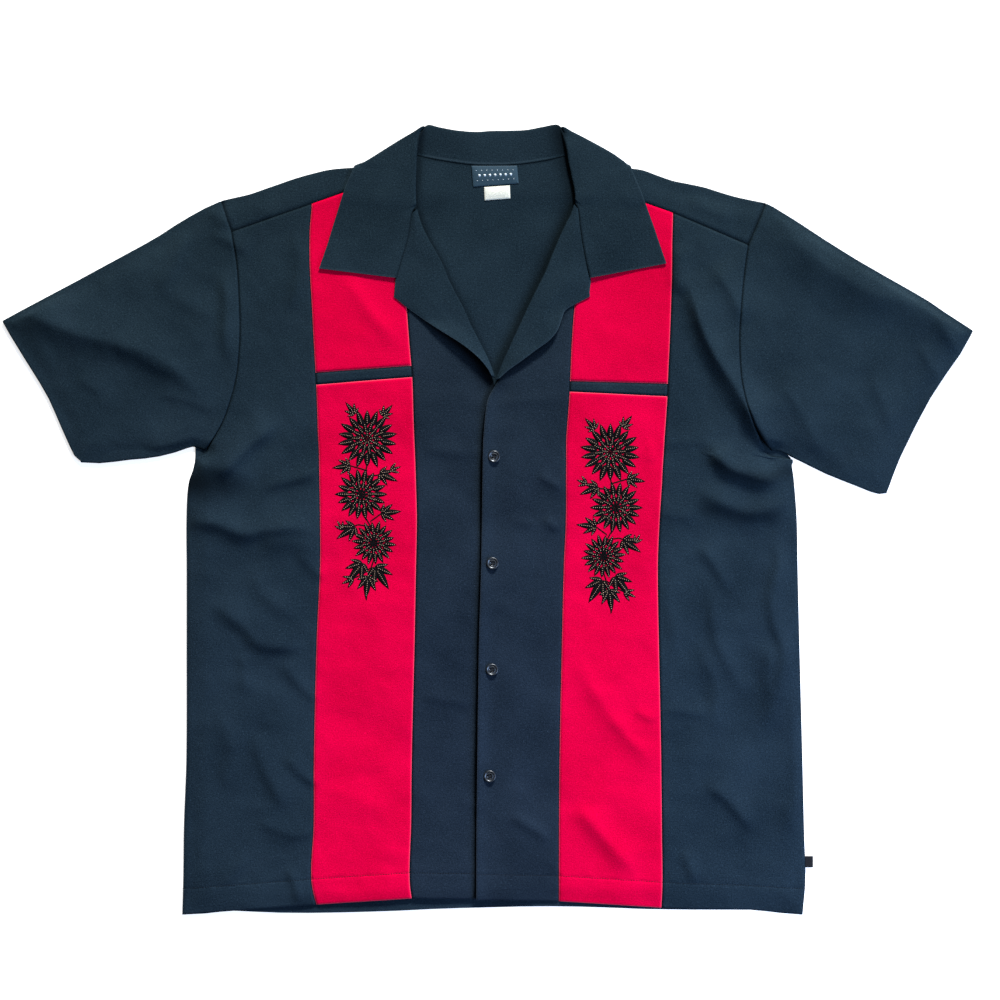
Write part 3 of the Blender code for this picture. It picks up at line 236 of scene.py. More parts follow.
# Creases of the upper layer: the width of the slope to the left of the crest's path and to the
# right, the rise, then x and y of each point of the path.
Crease = namedtuple("Crease", "left right rise path")
CREASES = [Crease(*row[:3], np.array(row[3:], float).reshape(-1, 2)) for row in (
    (28, 8, 5, -286, 42, -252, 74, -218, 104), (14, 6, 2.5, -238, 31, -204, 42, -171, 50),
    (19, 10, 4.9, -333, -1, -307, -4, -285, -6, -262, -16, -229, -9, -197, -12, -167, -18),
    (23, 13, 2.9, -244, -20, -212, -25, -173, -32), (11, 6, 1.6, -201, -36, -171, -62),
    (21, 8, 3.4, -293, -84, -267, -104, -250, -118, -234, -132, -187, -134),
    (14, 6, 1.9, -221, -143, -195, -177, -168, -191), (12, 7, 1.5, -256, -137, -254, -190),
    (13, 5, 1.8, -218, -245, -195, -268, -171, -276), (17, 8, 2.5, -251, -219, -232, -261, -213, -309),
    (10, 5, 1.4, -249, -317, -197, -331, -172, -322), (13, 7, 1.5, -281, -389, -249, -347),
    (9, 5, 1.9, -209, -363, -201, -383, -195, -406), (17, 9, 2, -203, 309, -198, 261, -205, 210),
    (34, 28, 5.2, -340, 58, -302, 58, -268, 52, -240, 40), (13, 8, 1.8, -274, 262, -272, 178),
    (21, 13, 2.2, -289, -187, -271, -233, -277, -296), (17, 10, 1.8, -244, -41, -232, -81, -194, -107),
    (28, 13, 9.2, 200, 272, 213, 232, 229, 189, 251, 150, 273, 116, 290, 86, 299, 62),
    (23, 13, 4.2, 232, 274, 252, 242, 275, 198),
    (23, 13, 9.4, 234, 86, 241, 67, 252, 54, 269, 47, 293, 42, 316, 52),
    (17, 8, 3.6, 267, 127, 285, 88, 314, 68), (12, 5, 1.2, 175, 79, 212, 80, 248, 77),
    (23, 14, 6.4, 213, 29, 246, 17, 275, 8, 331, 20), (15, 8, 2, 168, 6, 225, 2),
    (14, 6, 3, 293, -6, 303, -43, 295, -75, 298, -105, 311, -137, 307, -170, 292, -219),
    (20, 13, 3.3, 293, -122, 296, -180, 288, -229), (21, 15, 3.9, 309, -167, 326, -231, 323, -297, 304, -350),
    (13, 7, 2.7, 228, -67, 243, -136, 271, -194), (13, 7, 3, 223, -275, 252, -293, 277, -333),
    (13, 7, 2.3, 220, -23, 255, -74), (15, 8, 1.8, 183, -55, 198, -145), (11, 6, 1.5, 181, -199, 236, -209),
    (11, 6, 2.2, 201, -346, 220, -384), (15, 8, 1.1, 206, 335, 261, 313), (11, 9, 3.5, 199, 293, 199, 230),
    (17, 10, 2.2, 218, -125, 241, -179, 235, -235),
    (39, 23, 8, -538, 242, -485, 215, -445, 196, -404, 185, -361, 175, -330, 158, -287, 118),
    (17, 8, 1.1, -417, 182, -385, 177, -353, 163, -321, 144, -289, 121),
    (10, 17, 2.2, -314, 308, -328, 269, -344, 230), (15, 8, 1.1, -334, 231, -280, 212),
    (17, 9, 2.4, -297, 332, -265, 306), (17, 9, 2.2, -293, 304, -243, 277),
    (15, 9, 2, -287, 266, -272, 231, -275, 188, -267, 149), (13, 6, 1.4, -354, 132, -312, 123, -278, 113),
    (11, 6, 0.9, -431, 149, -401, 131), (13, 8, 2.1, -368, 76, -329, 81, -291, 87),
    (54, 34, 8.2, 282, 343, 341, 274, 389, 242, 441, 223, 531, 179),
    (15, 9, 2.8, 464, 217, 488, 186, 509, 158), (17, 9, 1.9, 398, 157, 415, 125, 429, 89),
    (13, 7, 1.5, 451, 184, 464, 158, 474, 133), (27, 17, 3, 298, 152, 336, 99, 356, 60),
    (9, 7, 1, -74, 74, -8, 70), (12, 8, 1.4, -74, -182, -13, -194),
    (12, 10, 3.6, -160, 259, -124, 221, -90, 180), (7, 5, 1.1, -134, 254, -103, 245),
    (22, 18, 1.1, -166, -43, -101, -127), (18, 14, 1, -174, -280, -94, -308), (7, 5, 1.8, 50, 47, 78, 32),
    (7, 5, 1.9, 58, 3, 74, -13), (9, 6, 1.1, 16, -1, 55, -7), (10, 8, 1.2, 60, -54, 42, -123),
    (8, 6, 2, 22, -311, 45, -325, 67, -340), (8, 6, 0.9, 1, 121, 83, 127),
    (18, 12, 2.4, 90, -140, 130, -209, 183, -268), (17, 12, 3.6, 92, -290, 122, -335, 158, -375),
    (8, 6, 1.3, 151, -198, 181, -210), (6, 5, 1, 170, 87, 172, 58), (12, 8, 0.8, 118, 297, 160, 270),
)]
# Lines along which painted shade darkens the cloth, where a layer comes out from under another or lies in a
# hollow: the path, then the reach of the shade and its depth, each at the path's two ends.
Crevice = namedtuple("Crevice", "path reach depth")
# Painted shade on the back's neck and the collar beside the collar and lapel rolls.
NECK_CREVICES = [
    Crevice([(-69.3, 405.8), (-72.9, 382.2), (-76.5, 329.7), (-64.5, 297), (-48.3, 267.8), (-42, 252),
             (-26.2, 221.6), (-11, 189.5), (2, 163)], (4.8, 3.6), (0.74, 0.52)),
    Crevice([(76.9, 405.8), (82.2, 382.2), (90.7, 346.7), (90.1, 331), (82, 310), (66.5, 275), (46.2, 231),
             (32.6, 201.6), (21, 176.4), (11.5, 155)], (14.5, 7.0), (0.8, 0.55)),
]
# Painted shadow on the fronts under the lapels' free edges.
LAPEL_CREVICES = [
    Crevice([(-84, 221), (-69.3, 210.4), (-54.6, 200.5), (-39.9, 191.2), (-25.2, 181.6), (-10.5, 169.4),
             (3.6, 150.6)], (1.2, 12.0), (0.8, 1.25)),
    Crevice([(90.2, 224.4), (77.1, 208.6), (64, 187), (50.4, 177), (35.7, 166), (12.6, 148)],
            (2.5, 3.5), (0.3, 0.7)),
]
# Painted shade in the hollows below the arms and along the right armhole.
ARM_CREVICES = [
    Crevice([(-306, 74), (-296.5, 71.5)], (3.6, 3.0), (1.0, 1.0)),
    Crevice([(-321, 40), (-302, 38), (-262, 34)], (18.0, 11.0), (0.95, 0.25)),
    Crevice([(236, 60), (260, 46), (290, 41), (314, 50)], (6.0, 8.0), (0.40, 0.50)),
    Crevice([(226, 12), (262, 3), (300, 5)], (10.0, 9.0), (0.28, 0.34)),
    Crevice([(282, 95), (287, 86.5), (292, 77.5), (296.5, 69.5)], (0.8, 3.4), (0.6, 1.1)),
    Crevice([(298, 69.5), (304, 70), (311, 67.8), (317, 65)], (2.6, 2.4), (1.0, 0.6)),
]
# Shallow rumples that relaxed cloth keeps: bearing of their length in degrees, length and width of
# one, and height.
RUMPLES = [(28, 130, 70, 0.80), (-32, 84, 38, 0.60), (64, 56, 22, 0.42), (-8, 38, 13, 0.27),
           (-58, 24, 9, 0.16), (35, 15, 6, 0.07)]
CREST_DRIFT, CREST_DRIFT_SIZE = 2.6, 34.0
CREST_SHARPNESS, CREST_ROUND = 0.26, 2.4
CREASE_REACH, CREASE_TAPER, CREASE_FALL = 3.2, 0.30, 0.8
CREVICE_STEPS = 160
UNDERARM_TOP = 80.0
ROUGH_SIZE, ROUGH_START = 64, (30.3, 31.7)
SHARP_FOLD = math.radians(50.0)


def soft_step(low, high, value):
    share = np.clip((value - low) / (high - low), 0.0, 1.0)
    return share * share * (3.0 - 2.0 * share)


def smooth_curve(where, value, at):
    """A smooth curve through the values at their places, read at other places."""
    def spread(a):
        return np.reshape(a, np.shape(a) + (1,) * (value.ndim - 1))
    before = np.maximum(np.arange(len(where)) - 1, 0)
    after = np.minimum(np.arange(len(where)) + 1, len(where) - 1)
    slope = (value[after] - value[before]) / spread(where[after] - where[before])
    at = np.clip(at, where[0], where[-1])
    k = np.clip(np.searchsorted(where, at, side="right") - 1, 0, len(where) - 2)
    span = spread(where[k + 1] - where[k])
    s = spread(at - where[k]) / span
    return (value[k] * (1 + 2 * s) * (1 - s) ** 2 + slope[k] * span * s * (1 - s) ** 2
            + value[k + 1] * s * s * (3 - 2 * s) + slope[k + 1] * span * s * s * (s - 1))


def read(rows, at):
    """A smooth curve through rows of (where, value)."""
    return smooth_curve(*np.array(sorted(rows), float).T, at)


def rail_x(side, rail, y):
    """x of one of the long seams at each height."""
    return read([(row.y, getattr(row, rail)) for row in SECTIONS[side]], y)


def lengths(points):
    steps = np.linalg.norm(np.diff(np.asarray(points, float), axis=0), axis=1)
    return np.concatenate([[0.0], np.cumsum(steps)])


def walk(points, shares):
    """Points on a polyline at the given shares of its length."""
    run = lengths(points)
    return np.stack([np.interp(np.asarray(shares) * run[-1], run, column)
                     for column in np.asarray(points, float).T], axis=-1)


def across(points):
    """The unit direction across a plan line at each point, to its left."""
    along = np.gradient(np.asarray(points, float), axis=0)
    along /= np.linalg.norm(along, axis=1, keepdims=True)
    return np.stack([-along[:, 1], along[:, 0]], axis=-1)


SIDES = {side: [(row.side, row.y) for row in SECTIONS[side] if row.y < UNDERARM_TOP] for side in SECTIONS}
OUTLINE = [pair for run in (
    SHOULDER["left"], *SLEEVE["left"].values(), SIDES["left"], BACK_HEM,
    SIDES["right"], *SLEEVE["right"].values(), SHOULDER["right"],
) for pair in zip(run, run[1:])]


def distance_to_outline(x, y):
    nearest = np.full(np.shape(x), 1000.0)
    for (x0, y0), (x1, y1) in OUTLINE:
        dx, dy = x1 - x0, y1 - y0
        share = np.clip(((x - x0) * dx + (y - y0) * dy) / (dx * dx + dy * dy), 0.0, 1.0)
        nearest = np.minimum(nearest, np.hypot(x - x0 - share * dx, y - y0 - share * dy))
    return nearest


def rough(x, y, length, width, bearing, seed):
    """A smooth random field between -1 and 1 whose patches have a length, a width and a bearing."""
    n = ROUGH_SIZE
    field = np.random.default_rng(seed).uniform(-1.0, 1.0, (n, n))
    a = math.radians(bearing)
    u = (x * math.cos(a) + y * math.sin(a)) / length + ROUGH_START[0]
    v = (y * math.cos(a) - x * math.sin(a)) / width + ROUGH_START[1]
    i, j = np.floor(u).astype(int), np.floor(v).astype(int)
    s, t = (share ** 3 * (share * (6 * share - 15) + 10) for share in (u - i, v - j))
    low, high = (field[i % n, k % n] * (1 - s) + field[(i + 1) % n, k % n] * s for k in (j, j + 1))
    return low * (1 - t) + high * t


def crease_height(crease, x, y):
    """Rise of one crease: a rather sharp crest that falls away softly to both sides."""
    where = lengths(crease.path)
    path = smooth_curve(where, crease.path, np.linspace(0.0, where[-1], 4 * len(where) - 3))
    run = lengths(path)
    nearest, share, off = np.full(np.shape(x), 1e9), np.zeros(np.shape(x)), np.zeros(np.shape(x))
    for (x0, y0), (dx, dy), start, step in zip(path, np.diff(path, axis=0), run, np.diff(run)):
        along = np.clip(((x - x0) * dx + (y - y0) * dy) / step ** 2, 0.0, 1.0)
        gap = np.hypot(x - x0 - along * dx, y - y0 - along * dy)
        nearer = gap < nearest
        nearest = np.where(nearer, gap, nearest)
        share = np.where(nearer, (start + along * step) / run[-1], share)
        off = np.where(nearer, (y - y0) * dx - (x - x0) * dy, off)
    width = np.where(off > 0.0, crease.left, crease.right)
    crest = np.minimum(CREST_SHARPNESS, CREST_ROUND / width)
    taper = soft_step(0.0, CREASE_TAPER, share) * soft_step(1.0, 1.0 - CREASE_TAPER, share)
    away = np.sqrt((nearest / width) ** 2 + crest ** 2) - crest
    return crease.rise * taper * np.exp(-away * (1.0 + CREASE_FALL * away))


def fold_height(x, y):
    """All creases and rumples together."""
    x, y = np.asarray(x, float), np.asarray(y, float)
    drift_x = x + CREST_DRIFT * rough(x, y, CREST_DRIFT_SIZE, CREST_DRIFT_SIZE, 20.0, 11)
    drift_y = y + CREST_DRIFT * rough(x, y, CREST_DRIFT_SIZE, CREST_DRIFT_SIZE, 70.0, 12)
    total = np.zeros(np.shape(x))
    for crease in CREASES:
        reach = CREASE_REACH * max(crease.left, crease.right)
        (x0, y0), (x1, y1) = crease.path.min(axis=0) - reach, crease.path.max(axis=0) + reach
        near = (drift_x > x0) & (drift_x < x1) & (drift_y > y0) & (drift_y < y1)
        total[near] += crease_height(crease, drift_x[near], drift_y[near])
    for seed, (bearing, length, width, height) in enumerate(RUMPLES, start=21):
        total = total + height * rough(drift_x, drift_y, length, width, bearing, seed)
    return total


def crevice_shade(crevices, x, y):
    """Painted shade along such lines, as a share below nought of the painted light measure."""
    shade, shares = 0.0 * x, np.linspace(0.0, 1.0, CREVICE_STEPS)
    for line in crevices:
        path = walk(line.path, shares)
        squared = (x[..., None] - path[:, 0]) ** 2 + (y[..., None] - path[:, 1]) ** 2
        share = shares[squared.argmin(axis=-1)]
        reach, depth = (low + (high - low) * share for low, high in (line.reach, line.depth))
        shade = np.minimum(shade, -depth * np.exp(-squared.min(axis=-1) / reach ** 2))
    return shade


def back_lift(x, y):
    """How far the back is held up by the collar's fall, which goes under it at the neck."""
    return COLLAR_LIFT * soft_step(*LIFT_RISE, y) * soft_step(*LIFT_HALF_WIDTH, np.abs(x - NECK_X))


def upper_lay(x, y):
    """Underside of the upper layer: the fronts, shoulder flaps and upper sides of the sleeves."""
    inside = distance_to_outline(x, y)
    calm = soft_step(*CALM_RADIUS, np.hypot(x - CALM_CENTRE[0], y - CALM_CENTRE[1]))
    puff = (CALM_PUFF + (PUFF - CALM_PUFF) * calm) * soft_step(0.0, PUFF_WIDTH, inside)
    folds = fold_height(x, y) * (CALM_FOLDS + (1 - CALM_FOLDS) * calm) * soft_step(0.0, FOLD_REACH, inside)
    return back_lift(x, y) + CLOTH + LAYER + np.maximum(0.0, puff + folds)


def near_to(distance, width):
    """One at a line, falling to nothing beyond a width."""
    return np.exp(-(distance / width) ** 2)


def grid_quads(grid, closed=False):
    """Four-cornered faces between the rows of a grid of points, or of point numbers."""
    index = grid if grid.ndim == 2 else np.arange(grid[..., 0].size).reshape(grid.shape[:2])
    if closed:
        index = np.concatenate([index, index[:, :1]], axis=1)
    return np.stack([index[:-1, :-1], index[:-1, 1:], index[1:, 1:], index[1:, :-1]], axis=-1).reshape(-1, 4)


def cloth(name, outer, inner, quads, material, grain=0.0, edge=None):
    """A closed thin shell of cloth from its outer and inner points. grain turns the weave."""
    outer, inner = outer.reshape(-1, 3), inner.reshape(-1, 3)
    count = len(outer)
    sides = np.concatenate([quads[:, [k, (k + 1) % 4]] for k in range(4)])
    keys = set(map(tuple, sides.tolist()))
    rim = [(b, a, a + count, b + count) for a, b in keys if (b, a) not in keys]
    points = np.concatenate([outer, inner])
    mesh = bpy.data.meshes.new(name)
    mesh.from_pydata((points * MM).tolist(), [], quads.tolist() + (quads[:, ::-1] + count).tolist() + rim)
    bm = bmesh.new()
    bm.from_mesh(mesh)
    bmesh.ops.recalc_face_normals(bm, faces=bm.faces)
    bm.to_mesh(mesh)
    bm.free()
    turn = math.radians(grain)
    u = (points[:, 0] * math.cos(turn) + points[:, 1] * math.sin(turn)) * MM
    v = (points[:, 1] * math.cos(turn) - points[:, 0] * math.sin(turn)) * MM
    corner = np.empty(len(mesh.loops), int)
    mesh.loops.foreach_get("vertex_index", corner)
    weave = mesh.uv_layers.new(name="weave")
    weave.data.foreach_set("uv", np.stack([u, v], axis=-1)[corner].ravel())
    # worn holds painted highlights above nought and painted shade below nought, mixed into the colour.
    worn = mesh.attributes.new("worn", "FLOAT", "POINT")
    edge = np.zeros(count) if edge is None else np.clip(edge, -1.0, 1.0).ravel()
    worn.data.foreach_set("value", np.concatenate([edge, edge]))
    mesh.shade_smooth()
    mesh.set_sharp_from_angle(angle=SHARP_FOLD)
    mesh.materials.append(material)
    return placed(name, mesh)


def sewn_in(piece, node, with_pieces=()):
    """The piece stands for its solid and lies with the shirt."""
    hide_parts(node)
    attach(piece, "root")


def add_node(tree, kind, values=(), **settings):
    node = tree.nodes.new(kind)
    for name, value in settings.items():
        setattr(node, name, value)
    return set_inputs(node, values)


def maths(tree, operation, *values):
    return add_node(tree, "ShaderNodeMath", enumerate(values), operation=operation).outputs[0]


def noise(tree, vector, scale, detail):
    values = {"Vector": vector, "Scale": scale, "Detail": detail}
    return add_node(tree, "ShaderNodeTexNoise", values).outputs["Fac"]


def colour_mix(tree, share, first, second, blend="MIX"):
    """Mixes two colours. Each is an output of another node or three numbers."""
    colours = [c if isinstance(c, bpy.types.NodeSocket) else (*c, 1.0) for c in (first, second)]
    return add_node(tree, "ShaderNodeMix", {0: share, 6: colours[0], 7: colours[1]}, data_type="RGBA",
                    blend_type=blend).outputs[2]


def add_bump(material, height, strength, distance):
    """Raises a material's surface by a height, in metres at most."""
    bump = add_node(material.node_tree, "ShaderNodeBump",
                    {"Height": height, "Strength": strength, "Distance": distance})
    set_inputs(shader_of(material), {"Normal": bump.outputs["Normal"]})


# The weave's parts: noise scale, noise detail, weight and the middle that is taken off, of each.
SLUB_WAYS = ((90.0, 2400.0, 1.0), (2400.0, 90.0, 1.0))
FUZZ, TONE, FLECK = (680.0, 4.0, 2.6, 0.5), (14.0, 3.0, 0.9, 0.5), (470.0, 1.0, 3.2, 0.60)
THREAD_WEIGHT, HEIGHT_WEIGHT, HEIGHT_MIDDLE, SHADE_MIDDLE = 0.35, 0.55, 0.5, 0.48


def woven_group():
    """Plain weave: threads over and under each other, thick and thin places, and soft tone."""
    group = bpy.data.node_groups.new("plain weave", "ShaderNodeTree")
    for name, kind, value in (("Grain", "Vector", (0.0, 0.0, 0.0)), ("Threads per metre", "Float", 2000.0),
                              ("Slub", "Float", 0.5)):
        socket = group.interface.new_socket(name, in_out="INPUT", socket_type="NodeSocket" + kind)
        socket.default_value = value
    for name in ("Shade", "Height"):
        group.interface.new_socket(name, in_out="OUTPUT", socket_type="NodeSocketFloat")
    times, plus, less = (partial(maths, group, operation) for operation in ("MULTIPLY", "ADD", "SUBTRACT"))
    given = add_node(group, "NodeGroupInput").outputs
    grain = given["Grain"]
    split = add_node(group, "ShaderNodeSeparateXYZ", {0: grain}).outputs
    pace = times(given["Threads per metre"], math.pi)
    warp, weft = (maths(group, "SINE", times(split[axis], pace)) for axis in "XY")
    ways = [add_node(group, "ShaderNodeVectorMath", {0: grain, 1: way}, operation="MULTIPLY")
            for way in SLUB_WAYS]
    slub = times(less(plus(*(noise(group, way.outputs[0], 1.0, 2.0) for way in ways)), 1.0), given["Slub"])
    fuzz, tone, fleck = (times(less(noise(group, grain, scale, detail), middle), weight)
                         for scale, detail, weight, middle in (FUZZ, TONE, FLECK))
    fleck = maths(group, "MAXIMUM", fleck, 0.0)
    height = plus(plus(times(times(warp, weft), THREAD_WEIGHT), slub), fuzz)
    shade = plus(plus(plus(times(height, HEIGHT_WEIGHT), tone), fleck), SHADE_MIDDLE)
    add_node(group, "NodeGroupOutput", {"Shade": shade, "Height": plus(height, HEIGHT_MIDDLE)})
    return group


PLAIN_WEAVE = woven_group()
CLOTH_ROUGHNESS, CLOTH_SPECULAR, CLOTH_THREADS, CLOTH_BUMP = 0.85, 0.03, 2100.0, (0.5, 0.00024)
# Painted sheen: over this span up the shirt, in metres, the cloth loses some of its blue towards the
# shoulders, standing in for the bluish sheen of daylight lower down.
PAINTED_SHEEN_SPAN, PAINTED_SHEEN_TINT = (-0.15, 0.32), (0.97, 0.985, 0.85)
# Share of the dark tone that painted shade in seams and crevices takes the cloth down to.
PAINTED_SHADE_TONE = 0.3


def woven_material(name, colour, roughness, threads, slub, bump, **others):
    """A material with the bump of a plain weave, and how light each thread is in it."""
    material = plain_material(name, colour, roughness, **others)
    grain = add_node(material.node_tree, "ShaderNodeUVMap", uv_map="weave").outputs["UV"]
    weave = add_node(material.node_tree, "ShaderNodeGroup", node_tree=PLAIN_WEAVE)
    set_inputs(weave, {"Grain": grain, "Threads per metre": threads, "Slub": slub})
    add_bump(material, weave.outputs["Height"], *bump)
    return material, weave.outputs["Shade"]


def cloth_material(name, low, high, worn, slub, sheen_tint, specular=CLOTH_SPECULAR):
    """Woven cloth between two tones, with painted highlights along edges, painted shade in seams and
    crevices, and a painted sheen that takes some blue out towards the shoulders.
    """
    material, shade = woven_material(name, high, CLOTH_ROUGHNESS, CLOTH_THREADS, slub, CLOTH_BUMP,
                                     Specular_IOR_Level=specular, Sheen_Weight=0.0, Sheen_Roughness=0.45,
                                     Sheen_Tint=(*sheen_tint, 1.0))
    tree = material.node_tree
    edge = add_node(tree, "ShaderNodeAttribute", attribute_name="worn").outputs["Fac"]
    lighter = colour_mix(tree, edge, colour_mix(tree, shade, low, high), worn)
    # Painted shade: where the measure is below nought the colour goes towards the dark tone.
    darker = colour_mix(tree, maths(tree, "MULTIPLY", edge, -1.0), lighter, [PAINTED_SHADE_TONE * c for c in low])
    place = add_node(tree, "ShaderNodeTexCoord").outputs["Object"]
    up = add_node(tree, "ShaderNodeSeparateXYZ", {0: place}).outputs["Y"]
    span = add_node(tree, "ShaderNodeMapRange", zip(("Value", "From Min", "From Max"), (up, *PAINTED_SHEEN_SPAN)))
    sheen_painted = colour_mix(tree, span.outputs["Result"], darker, PAINTED_SHEEN_TINT, "MULTIPLY")
    set_inputs(shader_of(material), {"Base Color": sheen_painted})
    return material


# The third colour of each cloth is that of its painted edge highlights.
DARK_WEAVE = (0.55, (0.55, 0.75, 1.0))
dark_cloth = cloth_material("dark_cloth", (0.0040, 0.0096, 0.0162), (0.0186, 0.0350, 0.0530),
                            (0.045, 0.070, 0.100), *DARK_WEAVE)
LEAN = {"left": 1.0, "right": -1.0}
BACK_CELL, FLAP_CELL = 3.3, 3.0
TURN_STEPS = 8
BACK_ROWS, NECK_POINTS = (66, 18, 86), 42
# Shallow creases on the underside of the back, like the front's but in other places.
UNDER_CREASE, UNDER_MIRROR, UNDER_SHIFT, UNDER_MOST, UNDER_INSET = 0.11, 9.0, 31.0, 4.0, (4.0, 20.0)
# The cloth that shows in the open neck swells a little, in soft waves.
NECK_SWELL, NECK_SWELL_Y, NECK_SWELL_TOP, NECK_WAVES = (150.0, 60.0), 270.0, 372.0, (31.0, 47.0)
SWELL_MEAN, SWELL_WAVE, SWELL_FADE, SWELL_SHARE = 0.5, 0.9, 30.0, 0.5
# Painted shade along the back's neck edge below the collar's seam: its reach and depth at both ends.
NECK_EDGE_SHADE, ARMHOLE_EASE = ((1.9, 1.9), (0.55, 0.55)), 4.0
SEAM_DIP, SEAM_WIDTH = 1.0, 1.2
# Painted shade down in the seams: how strong and how wide.
SEAM_SHADE, SEAM_SHADE_WIDTH = 0.66, 0.8


def rail_points(side, rail, y):
    return np.stack([rail_x(side, rail, y), y], axis=-1)


def with_height(plan, height):
    return np.concatenate([plan, height[..., None]], axis=-1)


def seam_dip(distance):
    """How far the face of the cloth turns down into a seam."""
    return SEAM_DIP * near_to(distance, SEAM_WIDTH)


def seam_shade(distance):
    """Painted shade down in a seam, as a share below nought of the painted light measure."""
    return -SEAM_SHADE * near_to(distance, SEAM_SHADE_WIDTH)


def body_side(side):
    """An edge of the back from the hem up the side seam and the armhole to the shoulder."""
    start = BACK_HEM[0 if side == "left" else -1][1]
    bend, corner = BACK_UNDERARM[side][0][0], BACK_ARMHOLE[side][-1][0]
    inward = LEAN[side] * SEAM / 2
    low = rail_points(side, "side", np.linspace(start, bend, BACK_ROWS[0]))
    turn = np.array(BACK_UNDERARM[side] + BACK_ARMHOLE[side][-1:])[:, ::-1]
    turn = turn + np.array((inward, 0.0)) * (turn[:, 1:] > corner - 0.01)
    turn = walk(turn, np.linspace(0.0, 1.0, BACK_ROWS[1]))
    high = np.linspace(corner, SHOULDER[side][0][1] - FOLD_RADIUS, BACK_ROWS[2])
    arm_x = read(BACK_ARMHOLE[side], high) + inward * soft_step(0.0, ARMHOLE_EASE, high[-1] - high)
    return np.concatenate([low, turn[1:-1], np.stack([arm_x, high], axis=-1)])


def shoulder_lines(side):
    """The fold line over a shoulder and the yoke seam below it, armhole to neck, point for point."""
    yoke = [(float(rail_x(side, rail, y)), y) for rail, y in CROSS[side]["yoke"]._asdict().items()]
    seam = walk(yoke, np.linspace(0.0, 1.0, round(abs(yoke[-1][0] - yoke[0][0]) / BACK_CELL)))
    share = (seam[:, 0] - seam[0, 0]) / (seam[-1, 0] - seam[0, 0])
    fold_x = SHOULDER[side][0][0] + share * (SHOULDER[side][-1][0] - SHOULDER[side][0][0])
    return np.stack([fold_x, read(SHOULDER[side], fold_x)], axis=-1), seam


def shoulder_tip(side):
    """The way out from the seam at the tip of a shoulder, midway between the two folds that meet."""
    both = (across(SHOULDER[side])[0] - across(SLEEVE[side]["top"])[0]) * LEAN[side]
    return both / np.linalg.norm(both)


def turned_edge(centre, outward, low, high):
    """Points round a folded edge from the lower layer to the upper one: outer, then inner."""
    angle = np.pi * (np.arange(1, TURN_STEPS) / TURN_STEPS - 0.5)
    rings = []
    for radius in ((high - low) / 2, (high - low) / 2 - CLOTH):
        plan = centre[None] + outward[None] * (np.cos(angle)[:, None] * radius[None])[..., None]
        rings.append(with_height(plan, (low + high)[None] / 2 + np.sin(angle)[:, None] * radius[None]))
    return rings


def blend_edges(low, high, left, right, u, v):
    """Plan points inside four edge lines, blended from the edges and the corners."""
    u, v = u[None, :, None], v[:, None, None]
    sides = low[None] * (1 - v) + high[None] * v + left[:, None] * (1 - u) + right[:, None] * u
    ends = (low[0] * (1 - u) + low[-1] * u) * (1 - v) + (high[0] * (1 - u) + high[-1] * u) * v
    return sides - ends


def make_flap(side, centre, out, seam, edge, first):
    """A shoulder flap, from the turned edge to the yoke seam: outer, inner, faces and painted seam shade."""
    low, high = back_lift(*centre.T), upper_lay(*centre.T) + CLOTH
    out[0] = shoulder_tip(side)
    around, within = turned_edge(centre, out, low, high)
    seam[:, 1] += SEAM / 2
    seam[0, 0] += LEAN[side] * SEAM / 2
    steps = round(float(np.linalg.norm(centre - seam, axis=1).max()) / FLAP_CELL)
    share = np.linspace(0.0, 1.0, steps + 1)[:, None, None]
    flap = centre[None] * (1 - share) + seam[None] * share
    lay = upper_lay(flap[..., 0], flap[..., 1])
    to_seams = [np.linalg.norm(flap - seam[None], axis=-1), np.linalg.norm(flap - flap[:, :1], axis=-1)]
    outer = np.concatenate([around, with_height(flap, lay + CLOTH - sum(map(seam_dip, to_seams)))])
    inner = np.concatenate([within, with_height(flap, lay)])
    shade = np.concatenate([0.0 * around[..., 0], sum(map(seam_shade, to_seams))])
    strip = np.concatenate([edge[None], np.arange(shade.size).reshape(shade.shape) + first])
    return outer, inner, grid_quads(strip if side == "left" else strip[:, ::-1]), shade


